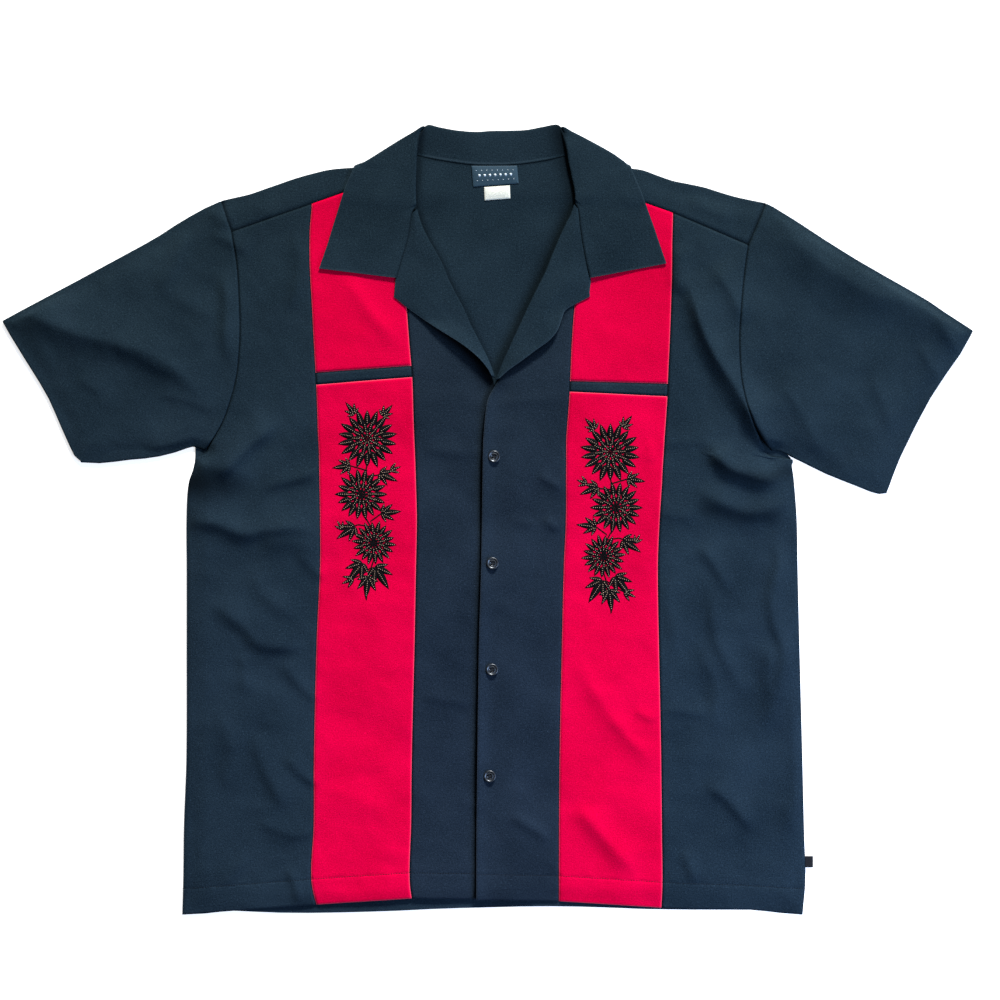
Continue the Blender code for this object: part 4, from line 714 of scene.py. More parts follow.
def make_back():
    folds, yokes = zip(*(shoulder_lines(side) for side in LEAN))
    outs = [across(fold) * lean for fold, lean in zip(folds, LEAN.values())]
    centres = [fold - out * FOLD_RADIUS for fold, out in zip(folds, outs)]
    left, right = body_side("left"), body_side("right")
    centres[0][0], centres[1][0] = left[-1], right[-1]
    top = np.concatenate([centres[0], walk(BACK_NECK, np.linspace(0.0, 1.0, NECK_POINTS)), centres[1][::-1]])
    u = lengths(top) / lengths(top)[-1]
    v = (left[:, 1] - left[0, 1]) / (left[-1, 1] - left[0, 1])
    plan = blend_edges(walk(BACK_HEM, u), top, left, right, u, v)
    x, y = plan[..., 0], plan[..., 1]
    swell = soft_step(*NECK_SWELL, np.hypot(x - NECK_X, y - NECK_SWELL_Y)) \
        * (SWELL_MEAN + SWELL_WAVE * np.sin(x / NECK_WAVES[0] + 0.5) * np.sin(y / NECK_WAVES[1])) \
        * soft_step(0.0, SWELL_FADE, NECK_SWELL_TOP - y)
    crumple = UNDER_CREASE * np.clip(fold_height(UNDER_MIRROR - x, y - UNDER_SHIFT), 0.0, UNDER_MOST)
    crumple = crumple * soft_step(*UNDER_INSET, distance_to_outline(x, y))
    rest = back_lift(x, y)
    raised = np.maximum(crumple, np.maximum(0.0, swell) * SWELL_SHARE)
    index = np.arange(x.size).reshape(x.shape)
    # The back carries painted shade beside the rolls and along its neck edge.
    parts = [(with_height(plan, rest + crumple), with_height(plan, rest + CLOTH + raised), grid_quads(index),
              crevice_shade(NECK_CREVICES + [Crevice(BACK_NECK, *NECK_EDGE_SHADE)], x, y))]
    for side, centre, out, seam in zip(LEAN, centres, outs, yokes):
        edge = index[-1, ::int(LEAN[side])][:len(centre)]
        parts.append(make_flap(side, centre, out, seam, edge, sum(part[3].size for part in parts)))
    outer, inner, quads, shades = zip(*parts)
    outer, inner = (np.concatenate([points.reshape(-1, 3) for points in layer]) for layer in (outer, inner))
    return cloth("shirt_back", outer, inner, np.concatenate(quads), dark_cloth,
                 edge=np.concatenate([shade.ravel() for shade in shades]))


sewn_in(make_back(), "back")

# ---------------------------------------------------------------- side fronts
# Matt dark plain-weave panels between the side seam and the red strips. Each is sewn flat to the
# back, the sleeve and the strip, and its hem is turned up and stitched.
FINE = (0.0, 0.4, 0.9, 1.6, 2.6, 4.2)
LEVELS = ("hem", "welt_low", "welt_high", "yoke")
HEM_STITCH = 27.0
HEM_BOW = [(182, 0), (212, 0.2), (245, 1.6), (275, 2.4), (300, 1.2), (331, 0)]
STITCH_ROWS = (23.4, 25.2, 26.2, 27.0, 27.8, 28.8, 30.6)
HEM_RISE, HEM_STEP, HEM_BOW_REACH = 0.10, 0.9, 30.0
# The stitches draw the hem in: how deep and wide, and its puckers' share, length and shift.
HEM_DIP, HEM_DIP_WIDTH, PUCKERS = 0.30, 1.1, ((0.45, 2.3, 0.0), (0.3, 5.1, 1.0))
EDGE_ROUND, EDGE_WIDTH, HEM_EDGE_WIDTH = 0.5, 0.6, 0.8
# Below the armhole a side front hugs the back's edge, where the side seam turns under.
HUG_WIDTH, HUG_DROP, HUG_ROUND = 3.5, LAYER - 0.05, 0.4
EDGE_LIFT, EDGE_REACH, LIFT_UNEVEN, LIFT_SIZE = 2.9, 8.0, 0.6, 60.0
EDGE_SINK, SINK_WIDTH = 0.7, 5.0
# LAP_SHADE is painted shadow on the left front beside the right front's edge; LAP_SPAN is where the right
# front rises over the left.
LAP_SHADE, LAP_SPAN = 0.5, (55.0, 24.0)
LAP_RISE = CLOTH + SEAM
# Heights between which the side seam ends, the overlap ends and the lapel takes the front edge.
SIDE_TOP, LAP_TOP, LAPEL_FOOT = (92.0, 66.0), (160.0, 130.0), (200.0, 165.0)
Panel = namedtuple("Panel", "plan near far low high")


def spaced(length, cell, fine=FINE, marks=()):
    """Places along a length: close together at its ends and round its marks, a cell apart between."""
    steps = max(2, round((length - fine[-1] - fine[-1]) / cell) + 1)
    middle = np.linspace(fine[-1], length - fine[-1], steps)
    places = np.concatenate([fine[:-1], middle, length - np.array(fine[:-1])[::-1]])
    if marks:
        clear = (places < marks[0] - cell / 2) | (places > marks[-1] + cell / 2)
        places = np.sort(np.concatenate([places[clear], marks]))
    return places


def front_panel(side, near, far, first, last):
    """Plan points between two long seams and two cross seams, and how far each is from all four."""
    names = LEVELS[LEVELS.index(first):LEVELS.index(last) + 1]
    marks = np.array([[getattr(CROSS[side][name], rail) for rail in (near, far)] for name in names], float)
    marks[-1] -= SEAM / 2
    if first != "hem":
        marks[0] += SEAM / 2
    run = marks.mean(axis=1) - marks[0].mean()
    up = spaced(run[-1], CELL, marks=STITCH_ROWS if first == "hem" else ())
    lines = []
    for k, (rail, inward) in enumerate(((near, -LEAN[side]), (far, LEAN[side]))):
        line = rail_points(side, rail, np.interp(up, run, marks[:, k]))
        lines.append(line if rail == "edge" else line + across(line) * inward * SEAM / 2)
    width = np.linalg.norm(lines[1] - lines[0], axis=1)
    over = spaced(width.mean(), CELL) / width.mean()
    plan = lines[0][:, None] * (1 - over)[None, :, None] + lines[1][:, None] * over[None, :, None]
    if first == "hem":
        plan[..., 1] += read(HEM_BOW, plan[..., 0]) * np.exp(-up[:, None] / HEM_BOW_REACH)
    near_by, far_by = width[:, None] * over[None], width[:, None] * (1 - over)[None]
    return Panel(plan, near_by, far_by, up[:, None] + 0 * near_by, run[-1] - up[:, None] + 0 * near_by)


def hem_form(below, x):
    """The turned-up hem: a raised band with a row of stitches at its top and a rounded edge."""
    band = HEM_RISE * soft_step(HEM_STITCH + HEM_STEP, HEM_STITCH - HEM_STEP, below)
    pucker = sum((share * np.sin(x / length + shift) for share, length, shift in PUCKERS), 1.0)
    return band - HEM_DIP * pucker * near_to(below - HEM_STITCH, HEM_DIP_WIDTH) \
        - EDGE_ROUND * near_to(below, HEM_EDGE_WIDTH)


def lap_rise(x):
    """The right front's rise over the hidden edge of the left front."""
    return LAP_RISE * soft_step(*LAP_SPAN, x)


def edge_sink(x, y):
    """The left front lies a little lower where the right front's edge comes over it."""
    return EDGE_SINK * near_to(x - rail_x("right", "edge", y), SINK_WIDTH)


def make_front(name, side, near, far, first, last, material, worn=()):
    """One panel of a front, and the line of its hem stitches. Its face turns down into each seam."""
    panel = front_panel(side, near, far, first, last)
    x, y = panel.plan[..., 0], panel.plan[..., 1]
    lap = far == "edge" and side == "right"
    low = upper_lay(x, y) + (lap_rise(x) if lap else 0.0)
    if far == "edge" and not lap:
        low = low - edge_sink(x, y) * soft_step(*LAP_TOP, y)
    top = low + CLOTH - seam_dip(panel.high)
    top = top + hem_form(panel.low, x) if first == "hem" else top - seam_dip(panel.low)
    if near == "side":
        below_arm = soft_step(*SIDE_TOP, y) * (1.0 - soft_step(0.0, HUG_WIDTH, panel.near))
        low = low - HUG_DROP * below_arm
        top = top - (HUG_DROP + HUG_ROUND) * below_arm - seam_dip(panel.near) * soft_step(*SIDE_TOP[::-1], y)
    else:
        top = top - seam_dip(panel.near)
    if far == "edge":
        # The folded edge of the button stand stands off what it lies on, more in some places.
        uneven = 1.0 + LIFT_UNEVEN * rough(y, 0.0 * y, LIFT_SIZE, LIFT_SIZE, 0.0, 41)
        lift = EDGE_LIFT * uneven * near_to(panel.far, EDGE_REACH) * soft_step(*LAPEL_FOOT, y) if lap else 0.0
        low = low + lift
        top = top + lift - EDGE_ROUND * near_to(panel.far, EDGE_WIDTH)
    else:
        top = top - seam_dip(panel.far)
    # Painted light: highlights along given edges, and painted shade in seams, under the lapels, beside the
    # right front's edge and in the underarm hollows.
    light = sum((share * near_to(getattr(panel, where), EDGE_WIDTH) for where, share in worn), 0 * x)
    if material.name.startswith("dark"):
        seams = [panel.high] + [panel.far] * (far != "edge") + [panel.low] * (first != "hem")
        seams.append(panel.near + (np.maximum(0.0, SIDE_TOP[0] - y) if near == "side" else 0.0))
        light = light + sum(seam_shade(distance) for distance in seams)
    if far == "edge":
        light = light + crevice_shade(LAPEL_CREVICES, x, y)
        if not lap:
            # Painted shadow beside the right front's edge.
            light = light - LAP_SHADE * (edge_sink(x, y) / EDGE_SINK) ** 2 * soft_step(*LAP_TOP, y)
    elif near == "side":
        light = light + crevice_shade(ARM_CREVICES, x, y)
    face = with_height(panel.plan, top)
    piece = cloth("shirt_" + name, face, with_height(panel.plan, low), grid_quads(face), material, edge=light)
    if first == "hem":
        hem_lines[name] = face[int(np.argmin(np.abs(panel.low[:, 0] - HEM_STITCH)))]
    return piece


hem_lines = {}
for side, flat, area in (("left", (0.150, 0.730), 0.087), ("right", (0.155, 0.730), 0.090)):
    node = "side_front_" + side
    piece = make_front(node, side, "side", "outer", "hem", "yoke", dark_cloth)
    sewn_in(piece, node)

# ---------------------------------------------------------------- red strips and pocket welts
# A long strip of the same cloth in red runs down each front. A narrow dark welt crosses it at the
# pocket mouth, so each strip is in two lengths.
# Its third colour is the pink of the painted highlights along the strips' edges.
red_cloth = cloth_material("red_cloth", (0.49, 0.0002, 0.025), (0.79, 0.0004, 0.055), (0.90, 0.14, 0.22),
                           0.45, (1.0, 0.7, 0.8), 0.01)
# Painted highlights along the strips' edges: which edge, and how strong.
STRIP_EDGE_HIGHLIGHTS = [("near", 0.45), ("far", 0.45), ("low", 0.4)]
lower_strips = {}
for side in LEAN:
    rails = (side, "outer", "inner")
    lower_strips[side] = make_front("strip_lower_" + side, *rails, "hem", "welt_low", red_cloth,
                                    STRIP_EDGE_HIGHLIGHTS + [("high", 0.6)])
    sewn_in(make_front("strip_upper_" + side, *rails, "welt_high", "yoke", red_cloth, STRIP_EDGE_HIGHLIGHTS),
            "strip_upper_" + side)
    sewn_in(make_front("pocket_welt_" + side, *rails, "welt_low", "welt_high", dark_cloth),
            "pocket_welt_" + side)

# ---------------------------------------------------------------- centre fronts
# Dark panels from the strips to the front edge. The right one laps over the left one, and its folded
# edge carries the buttonholes. Their cloth is a shade less green than the rest.
centre_cloth = cloth_material("dark_cloth_centre", (0.0042, 0.0087, 0.0153), (0.0191, 0.0316, 0.0512),
                              (0.050, 0.066, 0.095), *DARK_WEAVE)
# The right front's folded edge has a painted highlight.
for side, flat, area, worn in (("left", (0.102, 0.775), 0.0614, ()),
                               ("right", (0.100, 0.765), 0.0553, [("far", 0.5)])):
    node = "centre_front_" + side
    piece = make_front(node, side, "inner", "edge", "hem", "yoke", centre_cloth, worn)
    sewn_in(piece, node)

# ---------------------------------------------------------------- embroidery
# A spray of chrysanthemums in black satin thread down the middle of each lower strip: rings of
# padded petals with pale seed stitches, buds, split leaves and a stem of slanting stitches.
Blossom = namedtuple("Blossom", "x y radius turn")
SPRAY_CENTRE = {"left": (-127.6, 18.0), "right": (129.2, 4.0)}
BLOSSOMS = [Blossom(1.0, 66.0, 31.0, 10.0), Blossom(-5.0, 8.0, 27.0, 40.0), Blossom(8.0, -43.0, 23.0, 75.0)]
# Petals in a ring, where they start and end, and their width; then knots in a ring and its radius.
RINGS = [(18, 0.44, 1.00, 0.27), (14, 0.20, 0.60, 0.20), (9, 0.06, 0.32, 0.13)]
KNOTS = [(7, 0.055), (1, 0.0)]
# Buds and leaves: x, y, length and turn. Each has lobes of a share of its length, spread and width.
BUDS = [(-25, -29, 8.5, 120), (-13, -80, 11, 205), (25, 33, 9.5, 20)]
BUD_LOBES = [(0.85 * 1.3, -34.0, 0.42), (1.3, 0.0, 0.42), (0.85 * 1.3, 34.0, 0.42)]
LEAVES = [(14, 30, 21, -24), (-17, 38, 19, 188), (16, -12, 21, 6), (-12, -26, 23, 214), (-4, -64, 26, 232),
          (9, -68, 28, -58), (-12, 92, 16, 128), (17, 90, 16, 48), (2, -78, 24, -96)]
LEAF_LOBES = [(1.0, 0.0, 0.36), (0.74, 34.0, 0.28), (0.74, -34.0, 0.28), (0.52, 68.0, 0.22),
              (0.52, -68.0, 0.22)]
STEMS = [[(0, -102), (2, -88), (3.5, -74), (8, -60), (7, -30), (-1, -16), (-5, 8), (-1, 30), (2, 44),
          (2, 66)], [(5, -26), (-8, -24), (-25, -29)], [(3.5, -70), (-4, -76), (-13, -80)],
         [(-1, 27), (11, 28), (25, 33)], [(5, -20), (16, -12)], [(0, 33), (-17, 38)]]
STEM_PITCH, STEM_SLANT, STEM_STITCH = 0.95, 26.0, (3.2, 1.15, 0.75)
THREAD_RISE, THREAD_SINK = 0.75, 0.15
SEED_RUN, SEED_PITCH, SEED_LEAST, SEED_SIZE = (0.22, 0.86), 2.1, 7.5, (1.0, 0.8, 0.5)
PETAL_CELLS, PETAL_TIP = (4, 9), 0.02
PETAL_PAD, PETAL_FULLEST, PETAL_ROUND, PETAL_UNEVEN = 0.35, 0.72, 0.75, 0.07
KNOT_SIZE = (1.8, 1.6, 1.2)


def finished_mesh(bm, name, turn_out=True):
    """The plain mesh of a shape, with its faces turned outward."""
    if turn_out:
        bmesh.ops.recalc_face_normals(bm, faces=bm.faces)
    mesh = bpy.data.meshes.new(name)
    bm.to_mesh(mesh)
    bm.free()
    return mesh


def petal_half(s):
    """Half the width of a petal at a share of its length."""
    return 0.5 * math.sin(math.pi * s ** PETAL_FULLEST) ** PETAL_ROUND


def petal_mesh():
    """One padded petal, a millimetre long and wide, lying along x from its root."""
    wide, long = PETAL_CELLS
    bm = bmesh.new()
    uv = bm.loops.layers.uv.new("weave")
    rows = []
    for i in range(long + 1):
        half = petal_half(i / long) if 0 < i < long else PETAL_TIP
        rows.append([bm.verts.new((i / long, half * t, math.sqrt(max(0.0, 1 - t ** 2)) * (PETAL_PAD + half)))
                     for t in (2 * j / wide - 1 for j in range(wide + 1))])
    for low, high in zip(rows, rows[1:]):
        for j in range(wide):
            bm.faces.new([low[j], high[j], high[j + 1], low[j + 1]])
        bm.faces.new([low[0], low[-1], high[-1], high[0]])
    bm.faces.new(rows[0])
    bm.faces.new(rows[-1][::-1])
    bmesh.ops.recalc_face_normals(bm, faces=bm.faces)
    for face in bm.faces:
        for loop in face.loops:
            loop[uv].uv = loop.vert.co.xy
    return finished_mesh(bm, "petal", turn_out=False)


def made_group(name, inputs=()):
    """A node tree that takes geometry, further inputs and a material. Gives the inputs' identifiers."""
    group = bpy.data.node_groups.new(name, "GeometryNodeTree")
    kinds = [("Geometry", "Geometry"), *inputs, ("Material", "Material")]
    sockets = [group.interface.new_socket(label, in_out="INPUT", socket_type="NodeSocket" + kind)
               for label, kind in kinds]
    group.interface.new_socket("Geometry", in_out="OUTPUT", socket_type="NodeSocketGeometry")
    return group, add_node(group, "NodeGroupInput").outputs, [socket.identifier for socket in sockets[1:]]


def set_shapes(group, given, points, shape, turn, size):
    """Ends a node tree: the shape on each point, made real, smooth and in the given material."""
    last = add_node(group, "GeometryNodeInstanceOnPoints",
                    {"Points": points, "Instance": shape, "Rotation": turn, "Scale": size})
    for kind, others in (("GeometryNodeRealizeInstances", {}), ("GeometryNodeSetShadeSmooth", {}),
                         ("GeometryNodeSetMaterial", {"Material": given["Material"]}),
                         ("NodeGroupOutput", {})):
        last = add_node(group, kind, {"Geometry": last.outputs[0], **others})


def scatter_group(name, shape):
    """A node tree that sets a shape on each point, by the point's own turn and size."""
    group, given, (paint_in,) = made_group(name)
    source = add_node(group, "GeometryNodeObjectInfo", {"Object": shape}).outputs["Geometry"]
    turn, size = (add_node(group, "GeometryNodeInputNamedAttribute", {"Name": label},
                           data_type="FLOAT_VECTOR").outputs["Attribute"] for label in ("turn", "size"))
    set_shapes(group, given, given["Geometry"], source, turn, size)
    return group, paint_in


def settled(obj, modifier):
    """Keeps the result of a modifier as the object's plain mesh."""
    depsgraph = bpy.context.evaluated_depsgraph_get()
    mesh = bpy.data.meshes.new_from_object(obj.evaluated_get(depsgraph))
    obj.modifiers.remove(modifier)
    old, obj.data = obj.data, mesh
    bpy.data.meshes.remove(old)
    mesh.name = obj.name
    return obj


def grown(obj, group, values):
    """Runs a node tree on an object and keeps the result."""
    modifier = obj.modifiers.new("made", "NODES")
    modifier.node_group = group
    for identifier, value in values.items():
        modifier[identifier] = value
    settled(obj, modifier)
    return obj


def point_object(name, rows):
    """Loose points with a turn and a size each. Rows hold x, y, z, turn and the three sizes."""
    rows = np.array(rows, float)
    mesh = bpy.data.meshes.new(name)
    mesh.from_pydata((rows[:, :3] * MM).tolist(), [], [])
    turns = np.radians(rows[:, 3:4]) * (0.0, 0.0, 1.0)
    for label, values in (("turn", turns), ("size", rows[:, 4:7] * MM)):
        mesh.attributes.new(label, "FLOAT_VECTOR", "POINT").data.foreach_set("vector", values.ravel())
    return placed(name, mesh)


def away(x, y, reach, degrees):
    """The point at a reach and bearing from another."""
    a = math.radians(degrees)
    return x + reach * math.cos(a), y + reach * math.sin(a)


def spray_rows(rise):
    """Every padded shape of one spray: place, turn and size, root first."""
    rows = []
    for x, y, radius, start in BLOSSOMS:
        for ring, (count, inner, outer, width) in enumerate(RINGS):
            for k in range(count):
                turn = start + 360.0 * (k + 0.5 * (ring % 2)) / count
                stretch = 1.0 + PETAL_UNEVEN * math.sin(2.7 * k + ring + x)
                rows.append((*away(x, y, inner * radius, turn), 0.0, turn,
                             (outer - inner) * radius * stretch, width * radius, rise))
        long, wide, high = KNOT_SIZE
        for count, reach in KNOTS:
            rows += [(*away(x - long / 2, y, reach * radius, 360.0 * k / count), 0.0, 0.0,
                      long, wide, high * rise) for k in range(count)]
    for x, y, length, turn in BUDS:
        rows += [(x, y, 0.0, turn + spread, length * share, length * width, rise)
                 for share, spread, width in BUD_LOBES]
    for x, y, length, turn in LEAVES:
        rows += [(x, y, 0.0, turn + spread, length * share, length * width, rise)
                 for share, spread, width in LEAF_LOBES]
    long, wide, high = STEM_STITCH
    for line in STEMS:
        path = walk(line, np.linspace(0.0, 1.0, round(lengths(line)[-1] / STEM_PITCH)))
        for (x, y), (dx, dy) in zip(path, np.gradient(path, axis=0)):
            turn = math.degrees(math.atan2(dy, dx)) + STEM_SLANT
            rows.append((*away(x, y, -long / 2, turn), 0.0, turn, long, wide, high * rise))
    return rows


def seed_rows(shapes):
    """Pale seed stitches in a row down the middle of each larger padded shape."""
    return [(*away(x, y, s * length, turn), (PETAL_PAD + petal_half(s)) * rise, turn, *SEED_SIZE)
            for x, y, _, turn, length, _, rise in shapes if length > SEED_LEAST
            for s in np.arange(*SEED_RUN, SEED_PITCH / length)]


def bead(name):
    """A small faceted bead, a millimetre across."""
    bm = bmesh.new()
    bmesh.ops.create_icosphere(bm, subdivisions=1, radius=0.5)
    return bpy.data.objects.new(name, finished_mesh(bm, name, turn_out=False))


def satin_thread():
    """Black satin-stitch thread: fine strands across each shape, with a soft shine."""
    material = plain_material("satin_thread", (0.0022, 0.0018, 0.0024), 0.6, Specular_IOR_Level=0.06)
    place = add_node(material.node_tree, "ShaderNodeTexCoord").outputs["Object"]
    strands = add_node(material.node_tree, "ShaderNodeTexWave",
                       {"Vector": place, "Scale": 420.0, "Distortion": 1.2, "Detail": 1.0},
                       bands_direction="DIAGONAL")
    add_bump(material, strands.outputs["Fac"], 0.6, 0.0002)
    return material


def mesh_points(mesh):
    points = np.empty(len(mesh.vertices) * 3)
    mesh.vertices.foreach_get("co", points)
    return points.reshape(-1, 3)


def set_points(mesh, points):
    mesh.vertices.foreach_set("co", points.ravel())
    mesh.update()


thread = satin_thread()
petal = bpy.data.objects.new("petal_pattern", petal_mesh())
petal_tree, petal_paint = scatter_group("padded petals", petal)
seed_thread = plain_material("seed_thread", (0.50, 0.33, 0.22), 0.6)
seed = bead("seed_pattern")
seed_tree, seed_paint = scatter_group("seed stitches", seed)
for side, flip in LEAN.items():
    middle_x, middle_y = SPRAY_CENTRE[side]
    rows = [(middle_x + flip * x, middle_y + y, z, turn if flip > 0 else 180.0 - turn, *size)
            for x, y, z, turn, *size in spray_rows(THREAD_RISE)]
    spray = grown(point_object("embroidery_" + side, rows), petal_tree, {petal_paint: thread})
    seeds = point_object("embroidery_seeds_" + side, seed_rows(rows))
    seeds = grown(seeds, seed_tree, {seed_paint: seed_thread})
    for piece in (spray, seeds):
        points = mesh_points(piece.data)
        points[:, 2] += (upper_lay(points[:, 0] / MM, points[:, 1] / MM) + CLOTH - THREAD_SINK) * MM
        set_points(piece.data, points)
        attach(piece, "root")
    sewn_in(lower_strips[side], "strip_lower_" + side,
            [spray, seeds])
bpy.data.objects.remove(petal)
bpy.data.objects.remove(seed)

# ---------------------------------------------------------------- hem stitches
# One row of dark lock stitches holds the turned-up hem of the fronts.
STITCH_PITCH, STITCH_SIZE, STITCH_RISE = 2.7, (2.0, 0.55, 0.40), 0.12


def stitch_group():
    """A node tree that sets stitches end to end along a line."""
    group, given, identifiers = made_group("stitch row", [("Pitch", "Float"), ("Stitch", "Vector")])
    line = add_node(group, "GeometryNodeMeshToCurve", {"Mesh": given["Geometry"]}).outputs["Curve"]
    even = add_node(group, "GeometryNodeResampleCurve", mode="LENGTH")
    set_inputs(even, {"Curve": line, "Length": given["Pitch"]})
    ball = add_node(group, "GeometryNodeMeshUVSphere", {"Segments": 6, "Rings": 4, "Radius": 0.5})
    tangent = add_node(group, "GeometryNodeInputTangent").outputs["Tangent"]
    turn = add_node(group, "FunctionNodeAlignRotationToVector", {"Vector": tangent}, axis="X")
    set_shapes(group, given, even.outputs["Curve"], ball.outputs["Mesh"], turn.outputs["Rotation"],
               given["Stitch"])
    return group, identifiers


dark_thread = plain_material("dark_thread", (0.004, 0.005, 0.008), 0.7, Specular_IOR_Level=0.15)
stitch_tree, stitch_inputs = stitch_group()
for node, line in hem_lines.items():
    row_mesh = bpy.data.meshes.new("hem_stitches_" + node)
    points = ((line + (0.0, 0.0, STITCH_RISE)) * MM).tolist()
    row_mesh.from_pydata(points, [(k, k + 1) for k in range(len(line) - 1)], [])
    values = (STITCH_PITCH * MM, [s * MM for s in STITCH_SIZE], dark_thread)
    stitches = grown(placed("hem_stitches_" + node, row_mesh), stitch_tree, dict(zip(stitch_inputs, values)))
    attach(stitches, "root")

# ---------------------------------------------------------------- sleeves
# Short sleeves of the dark cloth, pressed flat: one piece each, folded along the top, seamed below,
# with a plain turned cuff.
CUFF_ROUND, SLEEVE_GAP = 0.5, 0.05
ARM_STEPS = (9, 72)
SLEEVE_GRAIN = 33.0
# How far along the edge of a sleeve its end is eased to meet another edge.
EASE_SHORT, EASE_TOP, EASE_ARM = 6.0, 12.0, 14.0


def eased(line, end, target, reach):
    """A line with one end moved to a target, the shift dying away along it."""
    run = lengths(line)
    gone = run if end == 0 else run[-1] - run
    return line + (np.asarray(target) - line[end]) * np.exp(-gone / reach)[:, None]


def sleeve_seams(side, out):
    """The sleeve's own edges along both armholes, shoulder to underarm."""
    corner_y, top_y = CROSS[side]["yoke"].side, SHOULDER[side][0][1] - FOLD_RADIUS
    underarm = SLEEVE[side]["under"][0]
    start = np.array((SHOULDER[side][0][0], top_y))
    corner = np.array((float(rail_x(side, "side", corner_y)), corner_y))
    flap = start + (corner - start) * np.linspace(0.0, 1.0, ARM_STEPS[0])[:-1, None]
    arm = rail_points(side, "side", np.linspace(corner_y, underarm[1], ARM_STEPS[1]))
    upper = np.concatenate([flap, arm])
    y = np.linspace(top_y, underarm[1], ARM_STEPS[1])
    lower = np.stack([read(BACK_ARMHOLE[side], y), y], axis=-1)
    return eased(upper - across(upper) * out, -1, underarm, EASE_ARM), lower - across(lower) * out


def make_sleeve(side):
    lean = LEAN[side]
    upper_arm, lower_arm = sleeve_seams(side, lean * SLEEVE_GAP)
    length = lengths(SLEEVE[side]["top"])[-1]
    v = spaced(length, CELL) / length
    top_edge, under_edge = walk(SLEEVE[side]["top"], v), walk(SLEEVE[side]["under"], v)
    top_edge = eased(top_edge + across(top_edge) * lean * FOLD_RADIUS, 0, upper_arm[0], EASE_TOP)
    under_edge = eased(under_edge - across(under_edge) * lean * FOLD_RADIUS, 0, upper_arm[-1], EASE_TOP)
    lower_arm = eased(eased(lower_arm, 0, top_edge[0], EASE_SHORT), -1, under_edge[0], EASE_SHORT)
    u = np.linspace(0.0, 1.0, round(lengths(upper_arm)[-1] / CELL))
    cuff = eased(walk(SLEEVE[side]["cuff"], u), 0, top_edge[-1], EASE_SHORT)
    cuff = eased(cuff, -1, under_edge[-1], EASE_SHORT)
    upper, lower = (blend_edges(walk(arm, u), cuff, top_edge, under_edge, u, v)
                    for arm in (upper_arm, lower_arm))
    from_arm = (v * length)[:, None]
    lay = upper_lay(upper[..., 0], upper[..., 1])
    face = lay + CLOTH - (seam_dip(from_arm) + CUFF_ROUND * near_to(length - from_arm, 0.8))
    under_out, top_out = across(under_edge) * lean, -across(top_edge) * lean
    top_out[0] = shoulder_tip(side)
    unders = turned_edge(under_edge, under_out, 0.0 * v, face[:, -1])
    tops = turned_edge(top_edge, top_out, 0.0 * v, face[:, 0])
    outer, inner = (np.concatenate([
        with_height(upper, high), under_turn[::-1].swapaxes(0, 1),
        with_height(lower, 0.0 * lay + low)[:, ::-1], top_turn.swapaxes(0, 1)], axis=1)
        for high, low, under_turn, top_turn in zip((face, lay), (0.0, CLOTH), unders, tops))
    # Painted shade in the armhole seam and the underarm hollows.
    dark = seam_shade(from_arm) + crevice_shade(ARM_CREVICES, outer[..., 0], outer[..., 1])
    return cloth("shirt_sleeve_" + side, outer, inner, grid_quads(outer, closed=True), dark_cloth,
                 -lean * SLEEVE_GRAIN, dark)


for side, area in (("left", 0.0866), ("right", 0.0890)):
    sewn_in(make_sleeve(side), "sleeve_" + side)

# ---------------------------------------------------------------- lapels
# The front facings, turned back at the roll line as revers. Each is a leaf of the dark cloth whose
# free edge lifts a little off the front.
Revers = namedtuple("Revers", "roll_x roll_y edge_x edge_y lift")
REVERS = {
    "left": [
        (-74.6, 324.6, -77.6, 319.6, 2.6), (-70.4, 310.3, -80.4, 303, 2.6), (-64.5, 297, -84.4, 286, 2.6),
        (-56, 282, -90.4, 267, 2.6), (-48.3, 267.8, -95, 251.6, 1.6), (-42.8, 254.2, -98, 237, 0.5),
        (-42, 252, -98.8, 233, 0.3), (-41, 250, -96.2, 230.9, 0.3), (-35, 238, -85.6, 222.2, 0.3),
        (-26.2, 221.6, -69.3, 210.4, 1.3), (-18, 203, -54.6, 200.5, 3.6), (-11, 189.5, -39.9, 191.2, 5.6),
        (-4.2, 176.5, -25.2, 181.6, 6.8), (2, 163, -10.5, 169.4, 7.2), (5.6, 153, -1.2, 158.6, 6),
        (7, 148.5, 3.6, 150.6, 4.6),
    ],
    "right": [
        (90.4, 329.6, 93.2, 323, 2.6), (86.6, 319, 94.6, 309, 2.6), (82, 310, 96.6, 295, 2.6),
        (76, 297.5, 99.8, 279, 2.6), (66.5, 275, 105, 253, 2), (60.6, 259.8, 106.6, 237.4, 0.6),
        (59.4, 257.2, 107, 233.4, 0.4), (58.4, 255.2, 104.4, 231.8, 0.4), (52, 243, 90.2, 224.4, 0.4),
        (46.2, 231, 81.2, 218.8, 1), (39, 216, 77.1, 208.6, 3), (32.6, 201.6, 72.5, 196.8, 4.2),
        (27, 190, 64, 186.9, 5), (21, 176.4, 50.4, 176.9, 5.4), (15.6, 165, 35.7, 165.9, 5.2),
        (11.5, 155, 21, 155.4, 4.6), (8.2, 146, 12.6, 147.6, 4),
    ],
}
# The gorge seam, where a lapel meets the collar: y and x, from the notch up.
GORGE = {"left": [(252.6, -95.9), (274.8, -89.3), (296.6, -83.1), (320.8, -79.4)],
         "right": [(252.6, 107.0), (279.6, 101.2), (303.4, 97.2), (324.0, 94.8)]}
GORGE_TOP_Z, GORGE_TUCK, NOTCH_Y = 4.35, 0.8, 250.0
ROLL_GAP, LIP_GAP = 1.9, 0.9
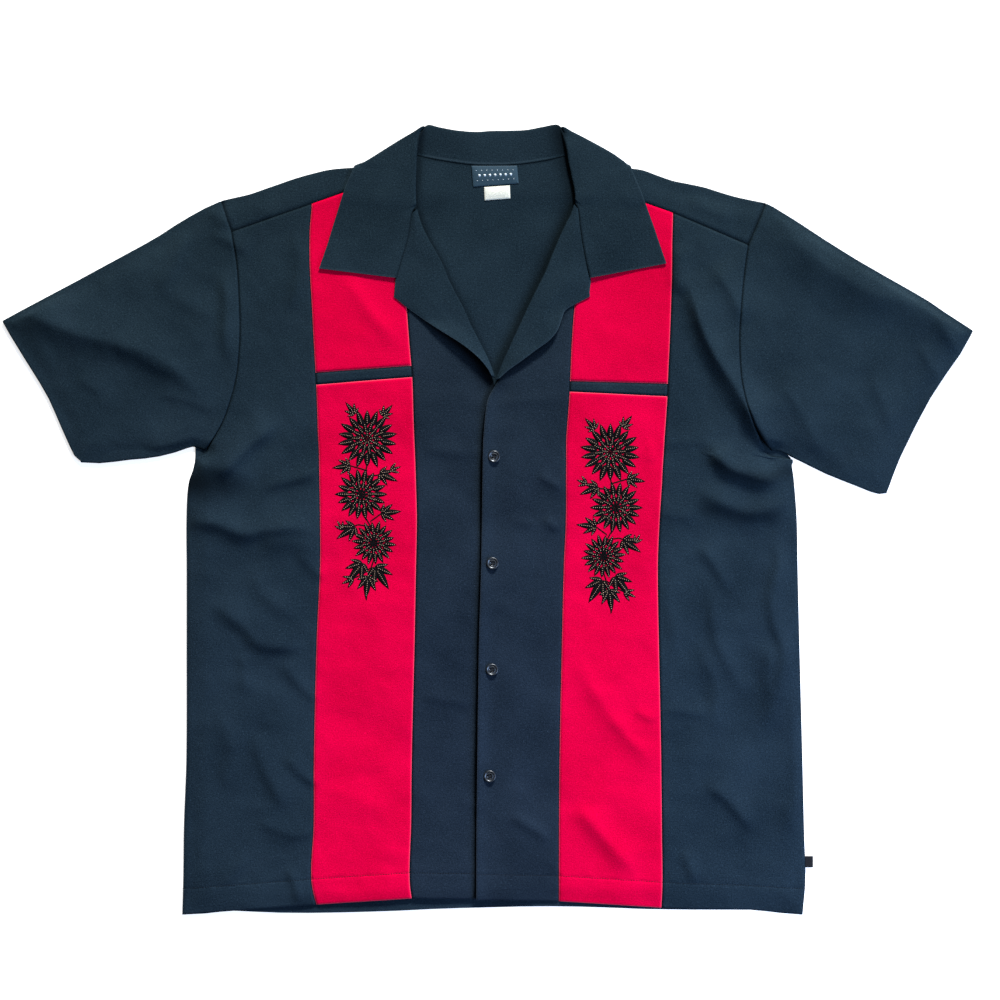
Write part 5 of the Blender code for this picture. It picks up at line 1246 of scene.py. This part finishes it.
# Painted shade on the roll's inner wall, and the points of a section over which it fades out.
ROLL_SHADE, ROLL_STEPS = 0.7, (15, 10)
LEAF_CROWN, LEAF_CELL, LEAF_EDGE = 0.8, 3.0, 1.2
# LAPEL_PAINTED_HIGHLIGHT is the strength of the painted highlight along the lapel's free edge.
LEAF_THINNING, LAPEL_PAINTED_HIGHLIGHT, LAPEL_GRAIN = 0.8, 0.3, 20.0
LEAF_SHARES = (0.0, 0.15, 0.3, 0.45, 0.58, 0.70, 0.80, 0.88, 0.94, 0.975, 1.0)
LAPEL_STEPS = (3, 2, 6, LEAF_SHARES)
# Slight unevenness of a leaf that lies loose: length, width, bearing and height. It starts past the
# roll and dies away before the free edge.
LEAF_WAVES = ((46.0, 24.0, 30.0, 0.55), (19.0, 12.0, -40.0, 0.25))
WAVES_START, WAVES_END, WAVES_LIFT = (4.0, 14.0), (0.0, 9.0), 0.2
CORNER_STEPS, CORNER_SHARE = 5, 0.45


def rounded(points, reach, steps):
    """A path through the points with rounded corners and a set number of steps along each straight."""
    points = np.asarray(points, float)
    starts, ends, arcs = [points[0]], [], []
    for before, corner, after in zip(points, points[1:], points[2:]):
        start, end = (corner + (other - corner) * min(reach / np.linalg.norm(other - corner), CORNER_SHARE)
                      for other in (before, after))
        s = np.linspace(0.0, 1.0, CORNER_STEPS + 1)[1:-1, None]
        arcs.append(start * (1 - s) ** 2 + corner * 2 * s * (1 - s) + end * s * s)
        ends.append(start)
        starts.append(end)
    ends.append(points[-1])
    path = []
    for start, end, step, arc in zip(starts, ends, steps, arcs + [points[:0]]):
        shares = np.asarray(step, float) if np.ndim(step) else np.linspace(0.0, 1.0, step + 1)
        path += [start + (end - start) * shares[:, None], arc]
    return np.concatenate(path)


def smooth_through(sections, cell):
    """Sections of equal point counts joined by smooth curves, about a cell apart."""
    sections = np.asarray(sections, float)
    steps = np.linalg.norm(np.diff(sections, axis=0), axis=2).max(axis=1)
    where = np.concatenate([[0.0], np.cumsum(steps)])
    at = np.concatenate([[0.0]] + [low + step * np.linspace(0.0, 1.0, max(1, round(step / cell)) + 1)[1:]
                                   for low, step in zip(where, steps)])
    return smooth_curve(where, sections, at)


def leaf_cloth(name, middle, thick, material, grain, edge):
    """A shell of cloth with its thickness on both sides of a grid of points."""
    normal = np.cross(np.gradient(middle, axis=1), np.gradient(middle, axis=0))
    normal /= np.maximum(np.linalg.norm(normal, axis=2, keepdims=True), 1e-9)
    half = normal * (np.broadcast_to(thick, middle.shape[:2])[..., None] / 2)
    return cloth(name, middle + half, middle - half, grid_quads(middle), material, grain, edge)


def leaf_waves(x, y):
    return sum(height * rough(x, y, length, width, bearing, seed)
               for seed, (length, width, bearing, height) in enumerate(LEAF_WAVES, start=51))


def make_lapel(side):
    lean = LEAN[side]

    def lay(x, y):
        return float(upper_lay(x, y)) + (float(lap_rise(x)) if side == "right" else 0.0)
    sections = []
    for row in map(Revers._make, REVERS[side]):
        lip_x = float(rail_x(side, "edge", row.roll_y)) + lean * LIP_GAP
        low = lay(lip_x, row.roll_y) + CLOTH / 2
        edge_x, edge_z = row.edge_x, lay(row.edge_x, row.edge_y) + CLOTH * 1.5 + row.lift
        if row.edge_y > NOTCH_Y:
            edge_x, edge_z = float(read(GORGE[side], row.edge_y)) - lean * GORGE_TUCK, GORGE_TOP_Z
        lip, roll = (lip_x, row.roll_y, low), (row.roll_x, row.roll_y, low)
        turn_high, edge = np.array(roll) + (0.0, 0.0, ROLL_GAP), np.array((edge_x, row.edge_y, edge_z))
        crown = (turn_high + edge) / 2 + (0.0, 0.0, LEAF_CROWN)
        sections.append(rounded([lip, roll, turn_high, crown, edge], ROLL_GAP / 2, LAPEL_STEPS))
    middle = smooth_through(sections, LEAF_CELL)
    from_roll = np.linalg.norm(middle - middle[:, :1], axis=2)
    to_edge = np.linalg.norm(middle - middle[:, -1:], axis=2)
    middle[..., 2] += leaf_waves(middle[..., 0], middle[..., 1]) * soft_step(*WAVES_START, from_roll) \
        * soft_step(*WAVES_END, to_edge)
    # Painted highlight along the free edge below the notch, and painted shade on the roll's inner wall.
    edge = LAPEL_PAINTED_HIGHLIGHT * near_to(to_edge, LEAF_EDGE) * (middle[..., 1] < NOTCH_Y)
    edge = edge - ROLL_SHADE * soft_step(*ROLL_STEPS, np.arange(edge.shape[1]))
    thick = CLOTH - LEAF_THINNING * near_to(to_edge, LEAF_EDGE)
    return leaf_cloth("shirt_lapel_" + side, middle, thick, dark_cloth, LAPEL_GRAIN * lean, edge)


for side, flat, area in (("left", (0.190, 0.075), 0.0068), ("right", (0.200, 0.075), 0.0072)):
    sewn_in(make_lapel(side), "lapel_" + side)

# ---------------------------------------------------------------- collar
# A one-piece camp collar of the dark cloth: a low stand round the neck, a soft roll, and a fall that
# lies open on the fronts and goes over the shoulders and under the back.
Collar = namedtuple("Collar", "seam_x seam_y seam_z roll_x roll_y roll_z gap edge_x edge_y edge_z wrap over")
COLLAR = {
    "left": [
        (-95.9, 252.6, 5.3, -95.9, 252.6, 5.3, 0, -176.9, 262.5, 4.6, 0, None),
        (-89.3, 274.8, 5.3, -89.3, 274.8, 5.3, 0, -169, 285.5, 4.6, 0, None),
        (-83.1, 296.6, 5.3, -83.1, 296.6, 5.3, 0, -162.8, 306, 4.7, 0, None),
        (-79.4, 320.8, 5.6, -79.4, 320.8, 5.6, 0, -156.5, 326, 4.9, 0, None),
        (-75.8, 327.4, 5, -76.2, 329.4, 5.7, 1.6, -154, 334, 5.6, 0, None),
        (-79, 329.6, 3.3, -75.9, 333, 5.3, 3.4, -151.5, 342, 6, 0, None),
        (-80.6, 343.4, 4, -76.1, 345, 5.7, 3.8, -147.6, 352.4, 6, 0, None),
        (-81.7, 356, 4.1, -75.9, 358, 6, 4, -141.6, 366, 6, 0, None),
        (-82, 362, 4.1, -75.6, 364, 6.1, 4, -139.8, 370.2, 5.6, 0, None),
        (-82.1, 366, 4.1, -75.4, 368, 6.2, 4, -136.4, 372, 3.4, 0, 0.06),
        (-82.1, 369, 4.1, -75.3, 371.5, 6.2, 4, -131, 373.6, 0.6, 0, 0.13),
        (-82.2, 372, 4.1, -75.2, 375, 6.2, 4, -122, 364.5, 0.6, 0.1, 0.28),
        (-81.9, 383.9, 3.3, -74.4, 389.6, 6, 3.8, -99, 360, 0.6, 0.3, 0.6),
        (-77.5, 382.4, 2.7, -72.2, 400.4, 5, 3.6, -84, 358.4, 0.6, 0.55, 0.84),
        (-71.5, 380.8, 2.3, -68, 408.6, 3.4, 3.6, -74, 358, 0.6, 0.8, 0.95),
        (-65, 379.5, 2.4, -62.2, 413, 2.5, 3.6, -62, 357.6, 0.6, 1, None),
        (-53.6, 377.3, 2.6, -52.2, 410.7, 2.4, 3.6, -51, 356, 0.6, 1, None),
        (-34.7, 374.3, 2.6, -32.6, 407.1, 2.4, 3.6, -32, 354, 0.6, 1, None),
        (-15.8, 372, 2.6, -12.1, 405.6, 2.4, 3.6, -13, 352.8, 0.6, 1, None),
        (2.1, 371.5, 2.6, 3.2, 406.6, 2.4, 3.6, 4, 352.8, 0.6, 1, None),
    ],
    "right": [
        (107, 252.6, 5.3, 107, 252.6, 5.3, 0, 186.9, 267.8, 4.6, 0, None),
        (101.2, 279.6, 5.3, 101.2, 279.6, 5.3, 0, 180, 288, 4.6, 0, None),
        (97.2, 303.4, 5.3, 97.2, 303.4, 5.3, 0, 174, 306, 4.7, 0, None),
        (94.8, 324, 5.6, 94.8, 324, 5.6, 0, 167.5, 324, 4.9, 0, None),
        (91.6, 332.2, 5, 92, 334.2, 5.7, 1.6, 164.5, 332.5, 5.6, 0, None),
        (94.4, 334.6, 3.3, 91.6, 338, 5.3, 3.4, 161.8, 340, 6, 0, None),
        (93.2, 345.5, 3.8, 90.4, 347.5, 5.2, 3.2, 157.5, 350.5, 6, 0, None),
        (92.6, 356, 3.8, 87.9, 358, 5.3, 3.2, 151, 365.6, 6, 0, None),
        (92.4, 362, 3.8, 86.8, 364, 5.4, 3.2, 149.2, 370.2, 5.6, 0, None),
        (92.3, 366, 3.8, 85.9, 368, 5.5, 3.3, 146, 372, 3.4, 0, 0.06),
        (92.2, 369, 3.8, 85, 371.5, 5.5, 3.4, 140.6, 373.6, 0.6, 0, 0.13),
        (92, 372, 3.8, 84.4, 375, 5.6, 3.6, 132, 364.5, 0.6, 0.1, 0.28),
        (91.1, 383.9, 3.3, 82.2, 389.6, 6, 3.8, 109, 360, 0.6, 0.3, 0.6),
        (87, 382.4, 2.7, 80, 400.4, 5, 3.6, 94, 358.4, 0.6, 0.55, 0.84),
        (81.5, 380.8, 2.3, 77.2, 408.6, 3.4, 3.6, 84, 358, 0.6, 0.8, 0.95),
        (75, 379.5, 2.4, 72, 413.2, 2.5, 3.6, 72, 357.6, 0.6, 1, None),
        (62, 376.8, 2.6, 57.8, 410.9, 2.4, 3.6, 60, 356, 0.6, 1, None),
        (43, 373.8, 2.6, 40, 407.6, 2.4, 3.6, 42, 354, 0.6, 1, None),
        (22, 371.7, 2.6, 20.5, 406.8, 2.4, 3.6, 22, 353, 0.6, 1, None),
    ],
}
# The brow of each shoulder, which the fall goes over: x and y.
OVER = {"left": [(-139.0, 369.4), (-125.0, 375.8), (-108.0, 387.4), (-64.0, 413.6)],
        "right": [(148.6, 369.4), (134.0, 380.6), (118.0, 390.2), (96.6, 401.2), (74.5, 412.7)]}
OVER_BROW = 5.9
COLLAR_CORNER, COLLAR_CLEAR = 2.2, 0.2
# Places of the fall's two bends between roll and free edge, at the foot of the leaf and further up.
FALL_ON_TOP, FALL_BENEATH = ((0.45, 0.94), (0.85, 0.985)), (0.10, 0.20)
ROLL_SHARE, LEAF_TURN = 0.72, (0.05, 0.12)
STAND_SHARES = (0.0, 0.025, 0.05, 0.08, 0.12, 0.3, 0.5, 0.75, 1.0)
COLLAR_STEPS = (STAND_SHARES, 2, 9, 8, LEAF_SHARES)
# Where the collar counts as on the fronts, loose, standing or leaf, by plan place and height.
FRONT_RADIUS, FRONT_Z, LOOSE_HALF_WIDTH, LOOSE_Z = (92.0, 120.0), 4.4, (84.0, 104.0), (4.0, 5.0)
STAND_STEPS, STAND_HALF_WIDTH, STAND_Z = (18, 14), (84.0, 76.0), (1.0, 2.6)
LEAF_Z, LEAF_FOOT = (4.6, 5.2), (345.0, 325.0)
# Painted highlight along the collar's edges and stand, painted shade along its seams, and how thin it is
# there.
COLLAR_PAINTED_HIGHLIGHT, HIGHLIGHT_WIDTH, COLLAR_GRAIN = 0.25, 1.1, 8.0
SEAM_THINNING, EDGE_THINNING, EDGE_THIN_WIDTH = 0.6, 0.5, 0.9
GORGE_SHADE, STAND_SHADE, STAND_SHADE_WIDTH = 0.62, 0.5, 0.6
STAND_PAINTED_HIGHLIGHT, STAND_HIGHLIGHT_PLACE, STAND_HIGHLIGHT_WIDTH = 0.45, 1.6, 0.8


def collar_section(row, outward, over_line, climb):
    """The path of one collar section: seam, stand, roll, fall and free edge. climb is 0 to 1 up the leaf."""
    seam, roll, edge = (np.array(row[k:k + 3], float) for k in (0, 3, 7))
    if row.gap == 0.0:
        turn_in, turn_out = (seam + (edge - seam) * share for share in LEAF_TURN)
    else:
        flat, up = (turn(math.pi * row.wrap) * row.gap * ROLL_SHARE / 2 for turn in (math.sin, math.cos))
        shift = np.array((outward[0] * flat, outward[1] * flat, up))
        turn_in, turn_out = roll - shift, roll + shift
    if row.over is None:
        near, far = (a + (b - a) * climb for a, b in FALL_ON_TOP) if row.wrap < 0.5 else FALL_BENEATH
        falls = [turn_out + (edge - turn_out) * share for share in (near, far)]
    else:
        falls = [(*walk(over_line, row.over), z) for z in (OVER_BROW, row.edge_z)]
    return rounded([seam, turn_in, turn_out, *falls, edge], COLLAR_CORNER, COLLAR_STEPS)


def collar_sections(side):
    rows = [Collar._make(row) for row in COLLAR[side]]
    outward = across([(row.roll_x, row.roll_y) for row in rows]) * LEAN[side]
    on_top = next(k for k, row in enumerate(rows) if row.over is not None)
    return [collar_section(row, out, OVER[side], min(1.0, k / on_top))
            for k, (row, out) in enumerate(zip(rows, outward))]


def make_collar():
    middle = smooth_through(collar_sections("left") + collar_sections("right")[::-1], LEAF_CELL)
    x, y, z = middle[..., 0], middle[..., 1], middle[..., 2]
    floor = upper_lay(x, y) + CLOTH * 1.5 + COLLAR_CLEAR
    on_front = soft_step(*FRONT_RADIUS, np.hypot(x - CALM_CENTRE[0], y - CALM_CENTRE[1])) * (z > FRONT_Z)
    middle[..., 2] += on_front * np.maximum(0.0, floor - z)
    loose = soft_step(*LOOSE_HALF_WIDTH, np.abs(x - NECK_X)) * soft_step(*LOOSE_Z, z)
    middle[..., 2] += np.maximum(0.0, leaf_waves(x, y) + WAVES_LIFT) * loose
    middle[..., 2] = np.maximum(middle[..., 2], CLOTH / 2)
    to_edge, to_seam = (np.linalg.norm(middle - line, axis=2) for line in (middle[:, -1:], middle[:, :1]))
    to_end = np.minimum(*(np.linalg.norm(middle - line, axis=2) for line in (middle[:1], middle[-1:])))
    on_stand = soft_step(*STAND_Z, z[:, :1]) * soft_step(*STAND_HALF_WIDTH, np.abs(x[:, :1] - NECK_X))
    on_leaf = soft_step(*LEAF_Z, z[:, :1]) * soft_step(*LEAF_FOOT, y[:, :1])
    thick = CLOTH - SEAM_THINNING * (1 - on_stand) * near_to(to_seam, LEAF_EDGE) \
        - EDGE_THINNING * near_to(to_edge, EDGE_THIN_WIDTH)
    before_roll = soft_step(*STAND_STEPS, np.arange(x.shape[1])) * (1 - on_leaf)
    # Painted highlights along the edges and ends, painted shade beside the roll, along the gorge seam and at
    # the stand's seam, with a painted highlight just above it.
    edge = COLLAR_PAINTED_HIGHLIGHT * near_to(to_edge, HIGHLIGHT_WIDTH) + COLLAR_PAINTED_HIGHLIGHT * near_to(to_end, HIGHLIGHT_WIDTH)
    edge = edge + before_roll * crevice_shade(NECK_CREVICES, x, y)
    edge = edge - GORGE_SHADE * on_leaf * near_to(to_seam, LEAF_EDGE)
    edge = edge + on_stand * (STAND_PAINTED_HIGHLIGHT * near_to(to_seam - STAND_HIGHLIGHT_PLACE, STAND_HIGHLIGHT_WIDTH)
                              - STAND_SHADE * near_to(to_seam, STAND_SHADE_WIDTH))
    return leaf_cloth("shirt_collar", middle, thick, dark_cloth, COLLAR_GRAIN, edge)


sewn_in(make_collar(), "collar")

# ---------------------------------------------------------------- labels
# Two small satin labels sewn inside the back of the neck, both left bare. The neck label has a
# plain border of small pale lozenges woven in.
LABEL_CLOTH, LABEL_CELL, LABEL_RIM, LABEL_TURN, LABEL_FLAT_RIM = 1.0, 2.4, 0.6, 0.35, 6.0
LABEL_THREADS, LABEL_SLUB, LABEL_TONES = 3800.0, 0.2, (0.8, 1.2)
LABEL_BUMP = (0.4, 0.0001)
Label = namedtuple("Label", "slot corners size colour puff flat")
LABELS = {
    "neck_label": Label("dark_label", [(-17.4, 370.4), (30.5, 370.6), (32.1, 352.0), (-15.4, 348.6)],
                        (47.9, 20.0), (0.0280, 0.0580, 0.0800), 0.9, (0.048, 0.021)),
    "care_label": Label("care_label", [(-4.0, 348.0), (22.9, 349.9), (23.4, 336.2), (-3.4, 334.2)],
                        (26.9, 13.7), (0.78, 0.77, 0.64), 0.5, (0.027, 0.014)),
}
# Rows of lozenges: share of the label's height, how many, their pitch as a share, and their size.
MOTIF_ROWS = [(0.24, 8, 0.115, 1.0), (0.49, 7, 0.115, 3.4), (0.74, 8, 0.115, 1.0)]
MOTIF_TURN, MOTIF_RISE = 2.0, 0.25


def label_material(name, colour):
    material, shade = woven_material(name, colour, 0.6, LABEL_THREADS, LABEL_SLUB, LABEL_BUMP,
                                     Specular_IOR_Level=0.15)
    tones = colour_mix(material.node_tree, shade, *([share * c for c in colour] for share in LABEL_TONES))
    set_inputs(shader_of(material), {"Base Color": tones})
    return material


def on_label(label, s, t):
    """Plan points on a label at shares of its width and height."""
    a, b, c, d = (np.array(corner) for corner in label.corners)
    return (a * (1 - s) + b * s) * (1 - t) + (d * (1 - s) + c * s) * t


def woven_motif(label):
    lozenge = bead("lozenge_pattern")
    pale = plain_material("pale_thread", (0.55, 0.62, 0.64), 0.6)
    tree, paint = scatter_group("woven lozenges", lozenge)
    rows = []
    for share, count, pitch, size in MOTIF_ROWS:
        for k in range(count):
            x, y = on_label(label, 0.5 + (k - (count - 1) / 2) * pitch, share)
            z = float(back_lift(x, y)) + CLOTH + SEAM + LABEL_CLOTH + label.puff * math.sin(math.pi * share)
            rows.append((x, y, z, MOTIF_TURN, size, size, MOTIF_RISE))
    motif = grown(point_object("neck_label_motif", rows), tree, {paint: pale})
    bpy.data.objects.remove(lozenge)
    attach(motif, "root")
    return motif


for node, label in LABELS.items():
    u, v = (spaced(side, LABEL_CELL, FINE[:4]) for side in label.size)
    s, t = (u / u[-1])[None, :, None], (v / v[-1])[:, None, None]
    plan = on_label(label, s, t)
    floor = back_lift(plan[..., 0], plan[..., 1]) + CLOTH + SEAM
    rim = np.minimum(np.minimum(u, u[-1] - u)[None], np.minimum(v, v[-1] - v)[:, None])
    rise = label.puff * np.sin(np.pi * t[..., 0]) * soft_step(0.0, LABEL_FLAT_RIM, rim)
    rise = rise - LABEL_TURN * near_to(rim, LABEL_RIM)
    piece = cloth("shirt_" + node, with_height(plan, floor + LABEL_CLOTH + rise), with_height(plan, floor),
                  grid_quads(plan), label_material(node + "_satin", label.colour))
    sewn_in(piece, node,
            [woven_motif(label)] if node == "neck_label" else ())

# ---------------------------------------------------------------- side tab
# A narrow black tape, folded in two and caught in the side seam.
TAB_ROOT_X, TAB_MIDDLE_Y = 333.0, -359.6
TAB_WIDTH, TAB_REACH = 11.6, 8.2
TAB_CLOTH, TAB_GAP, TAB_CELL = 1.0, 0.5, 1.6
high = 2 * TAB_CLOTH + TAB_GAP
turn = TAB_ROOT_X + TAB_REACH - high / 2
straight = np.linspace(TAB_ROOT_X, turn, 5)[:-1]
angle = np.linspace(-np.pi / 2, np.pi / 2, 15)
rows = TAB_MIDDLE_Y - TAB_WIDTH / 2 + spaced(TAB_WIDTH, TAB_CELL, FINE[:3])
layers = []
for radius in (high / 2, high / 2 - TAB_CLOTH):
    path_x = np.concatenate([straight, turn + radius * np.cos(angle), straight[::-1]])
    arc_z = high / 2 + radius * np.sin(angle)
    path_z = np.concatenate([0 * straight + arc_z[0], arc_z, 0 * straight + arc_z[-1]])
    layers.append(np.stack(np.broadcast_arrays(path_x[None], rows[:, None], path_z[None]), axis=-1))
tape = label_material("black_tape", (0.008, 0.008, 0.010))
tab = cloth("shirt_side_tab", *layers, grid_quads(layers[0]), tape)
sewn_in(tab, "side_tab")

# ---------------------------------------------------------------- buttons
# Dark four-hole buttons of polished resin with a raised rim and a dished middle, sewn on with dark
# thread. The right front's buttonholes are closed over them.
BUTTON_PLACES = [(6.3, 65.5), (4.8, -46.2), (4.2, -157.5), (1.8, -269.2)]
BUTTON_RADIUS, BUTTON_SEGMENTS = 6.35, 56
HOLE_RADIUS, HOLE_OFFSET, HOLE_SEGMENTS, DRILL_LENGTH = 0.85, 1.55, 18, 12.0
BUTTON_PROFILE = [(0, 0), (5, 0), (5.9, 0.35), (6.25, 0.9), (6.35, 1.4), (6.3, 1.9), (6.1, 2.3), (5.75, 2.55),
                  (5.3, 2.6), (4.9, 2.5), (4.55, 2.25), (4.2, 1.95), (3.85, 1.88), (3.5, 2.02), (3.15, 2.18),
                  (2.85, 2.14), (2.55, 1.9), (2.2, 1.76), (1.2, 1.7), (0, 1.7)]
BUTTON_TURN, BUTTON_TURN_START = 11.0, -20.0
SHARP_EDGE = math.radians(40.0)
STRANDS, STRAND_RADIUS, STRAND_SIDES, STRAND_STEPS = (-0.32, 0.0, 0.32), 0.2, 6, 10
STRAND_FOOT, STRAND_RISE = 1.15, 0.85


def resin_material():
    material = plain_material("button_resin", (0.003, 0.004, 0.006), 0.44, Specular_IOR_Level=0.8,
                              Specular_Tint=(0.78, 0.89, 1.0, 1.0), Coat_Weight=0.6, Coat_Roughness=0.34)
    tree = material.node_tree
    cloud = noise(tree, add_node(tree, "ShaderNodeTexCoord").outputs["Object"], 260.0, 3.0)
    tones = colour_mix(tree, cloud, (0.0014, 0.0022, 0.0034), (0.004, 0.006, 0.009))
    set_inputs(shader_of(material), {"Base Color": tones})
    return material


def make_button(name, material):
    """A button turned from its profile of radii and heights, with four holes cut through it."""
    bm = bmesh.new()
    rings = []
    for radius, height in BUTTON_PROFILE:
        angles = [2 * math.pi * k / BUTTON_SEGMENTS for k in range(BUTTON_SEGMENTS if radius else 1)]
        rings.append([bm.verts.new((radius * math.cos(a) * MM, radius * math.sin(a) * MM, height * MM))
                      for a in angles])
    for low, high in zip(rings, rings[1:]):
        for k in range(BUTTON_SEGMENTS):
            n = (k + 1) % BUTTON_SEGMENTS
            corners = [low[k % len(low)], low[n % len(low)], high[n % len(high)], high[k % len(high)]]
            bm.faces.new(list(dict.fromkeys(corners)))
    mesh = finished_mesh(bm, name)
    mesh.shade_smooth()
    mesh.set_sharp_from_angle(angle=SHARP_EDGE)
    mesh.materials.append(material)
    button = placed(name, mesh)
    bm = bmesh.new()
    for x, y in ((x * HOLE_OFFSET * MM, y * HOLE_OFFSET * MM) for x in (-1, 1) for y in (-1, 1)):
        made = bmesh.ops.create_cone(bm, cap_ends=True, segments=HOLE_SEGMENTS, radius1=HOLE_RADIUS * MM,
                                     radius2=HOLE_RADIUS * MM, depth=DRILL_LENGTH * MM)
        bmesh.ops.translate(bm, verts=made["verts"], vec=(x, y, 0.0))
    drill = placed("drill", finished_mesh(bm, "drill", turn_out=False))
    cut = button.modifiers.new("holes", "BOOLEAN")
    cut.operation, cut.solver, cut.object = "DIFFERENCE", "EXACT", drill
    settled(button, cut)
    bpy.data.objects.remove(drill)
    button.data.set_sharp_from_angle(angle=SHARP_EDGE)
    return button


def make_button_thread(name):
    """Strands from hole to hole, a few side by side, arched over the middle of the button."""
    bm = bmesh.new()
    turns = [2 * math.pi * j / STRAND_SIDES for j in range(STRAND_SIDES)]
    for middle in (row * HOLE_OFFSET + strand for row in (-1, 1) for strand in STRANDS):
        rings = []
        for s in (i / STRAND_STEPS for i in range(STRAND_STEPS + 1)):
            x, z = (2 * s - 1) * HOLE_OFFSET, STRAND_FOOT + STRAND_RISE * math.sin(math.pi * s) ** 0.5
            rings.append([bm.verts.new((x * MM, (middle + STRAND_RADIUS * math.cos(a)) * MM,
                                        (z + STRAND_RADIUS * math.sin(a)) * MM)) for a in turns])
        for low, high in zip(rings, rings[1:]):
            for j in range(STRAND_SIDES):
                n = (j + 1) % STRAND_SIDES
                bm.faces.new([low[j], low[n], high[n], high[j]])
        bm.faces.new(rings[0])
        bm.faces.new(rings[-1])
    mesh = finished_mesh(bm, name)
    mesh.shade_smooth()
    mesh.materials.append(dark_thread)
    return placed(name, mesh)


resin = resin_material()
for number, (x, y) in enumerate(BUTTON_PLACES, start=1):
    around = np.array([(0, 0), (1, 0), (-1, 0), (0, 1), (0, -1)]) * BUTTON_RADIUS + (x, y)
    floor = float((upper_lay(*around.T) + lap_rise(around[:, 0])).max()) + CLOTH + SEAM
    a = math.radians(BUTTON_TURN * number + BUTTON_TURN_START)
    button = make_button("shirt_button_%d" % number, resin)
    sewing = make_button_thread("button_thread_%d" % number)
    for piece in (button, sewing):
        old = mesh_points(piece.data)
        set_points(piece.data, np.stack([
            old[:, 0] * math.cos(a) - old[:, 1] * math.sin(a) + x * MM,
            old[:, 0] * math.sin(a) + old[:, 1] * math.cos(a) + y * MM, old[:, 2] + floor * MM], axis=-1))
        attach(piece, "root")
    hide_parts("button_%d" % number)
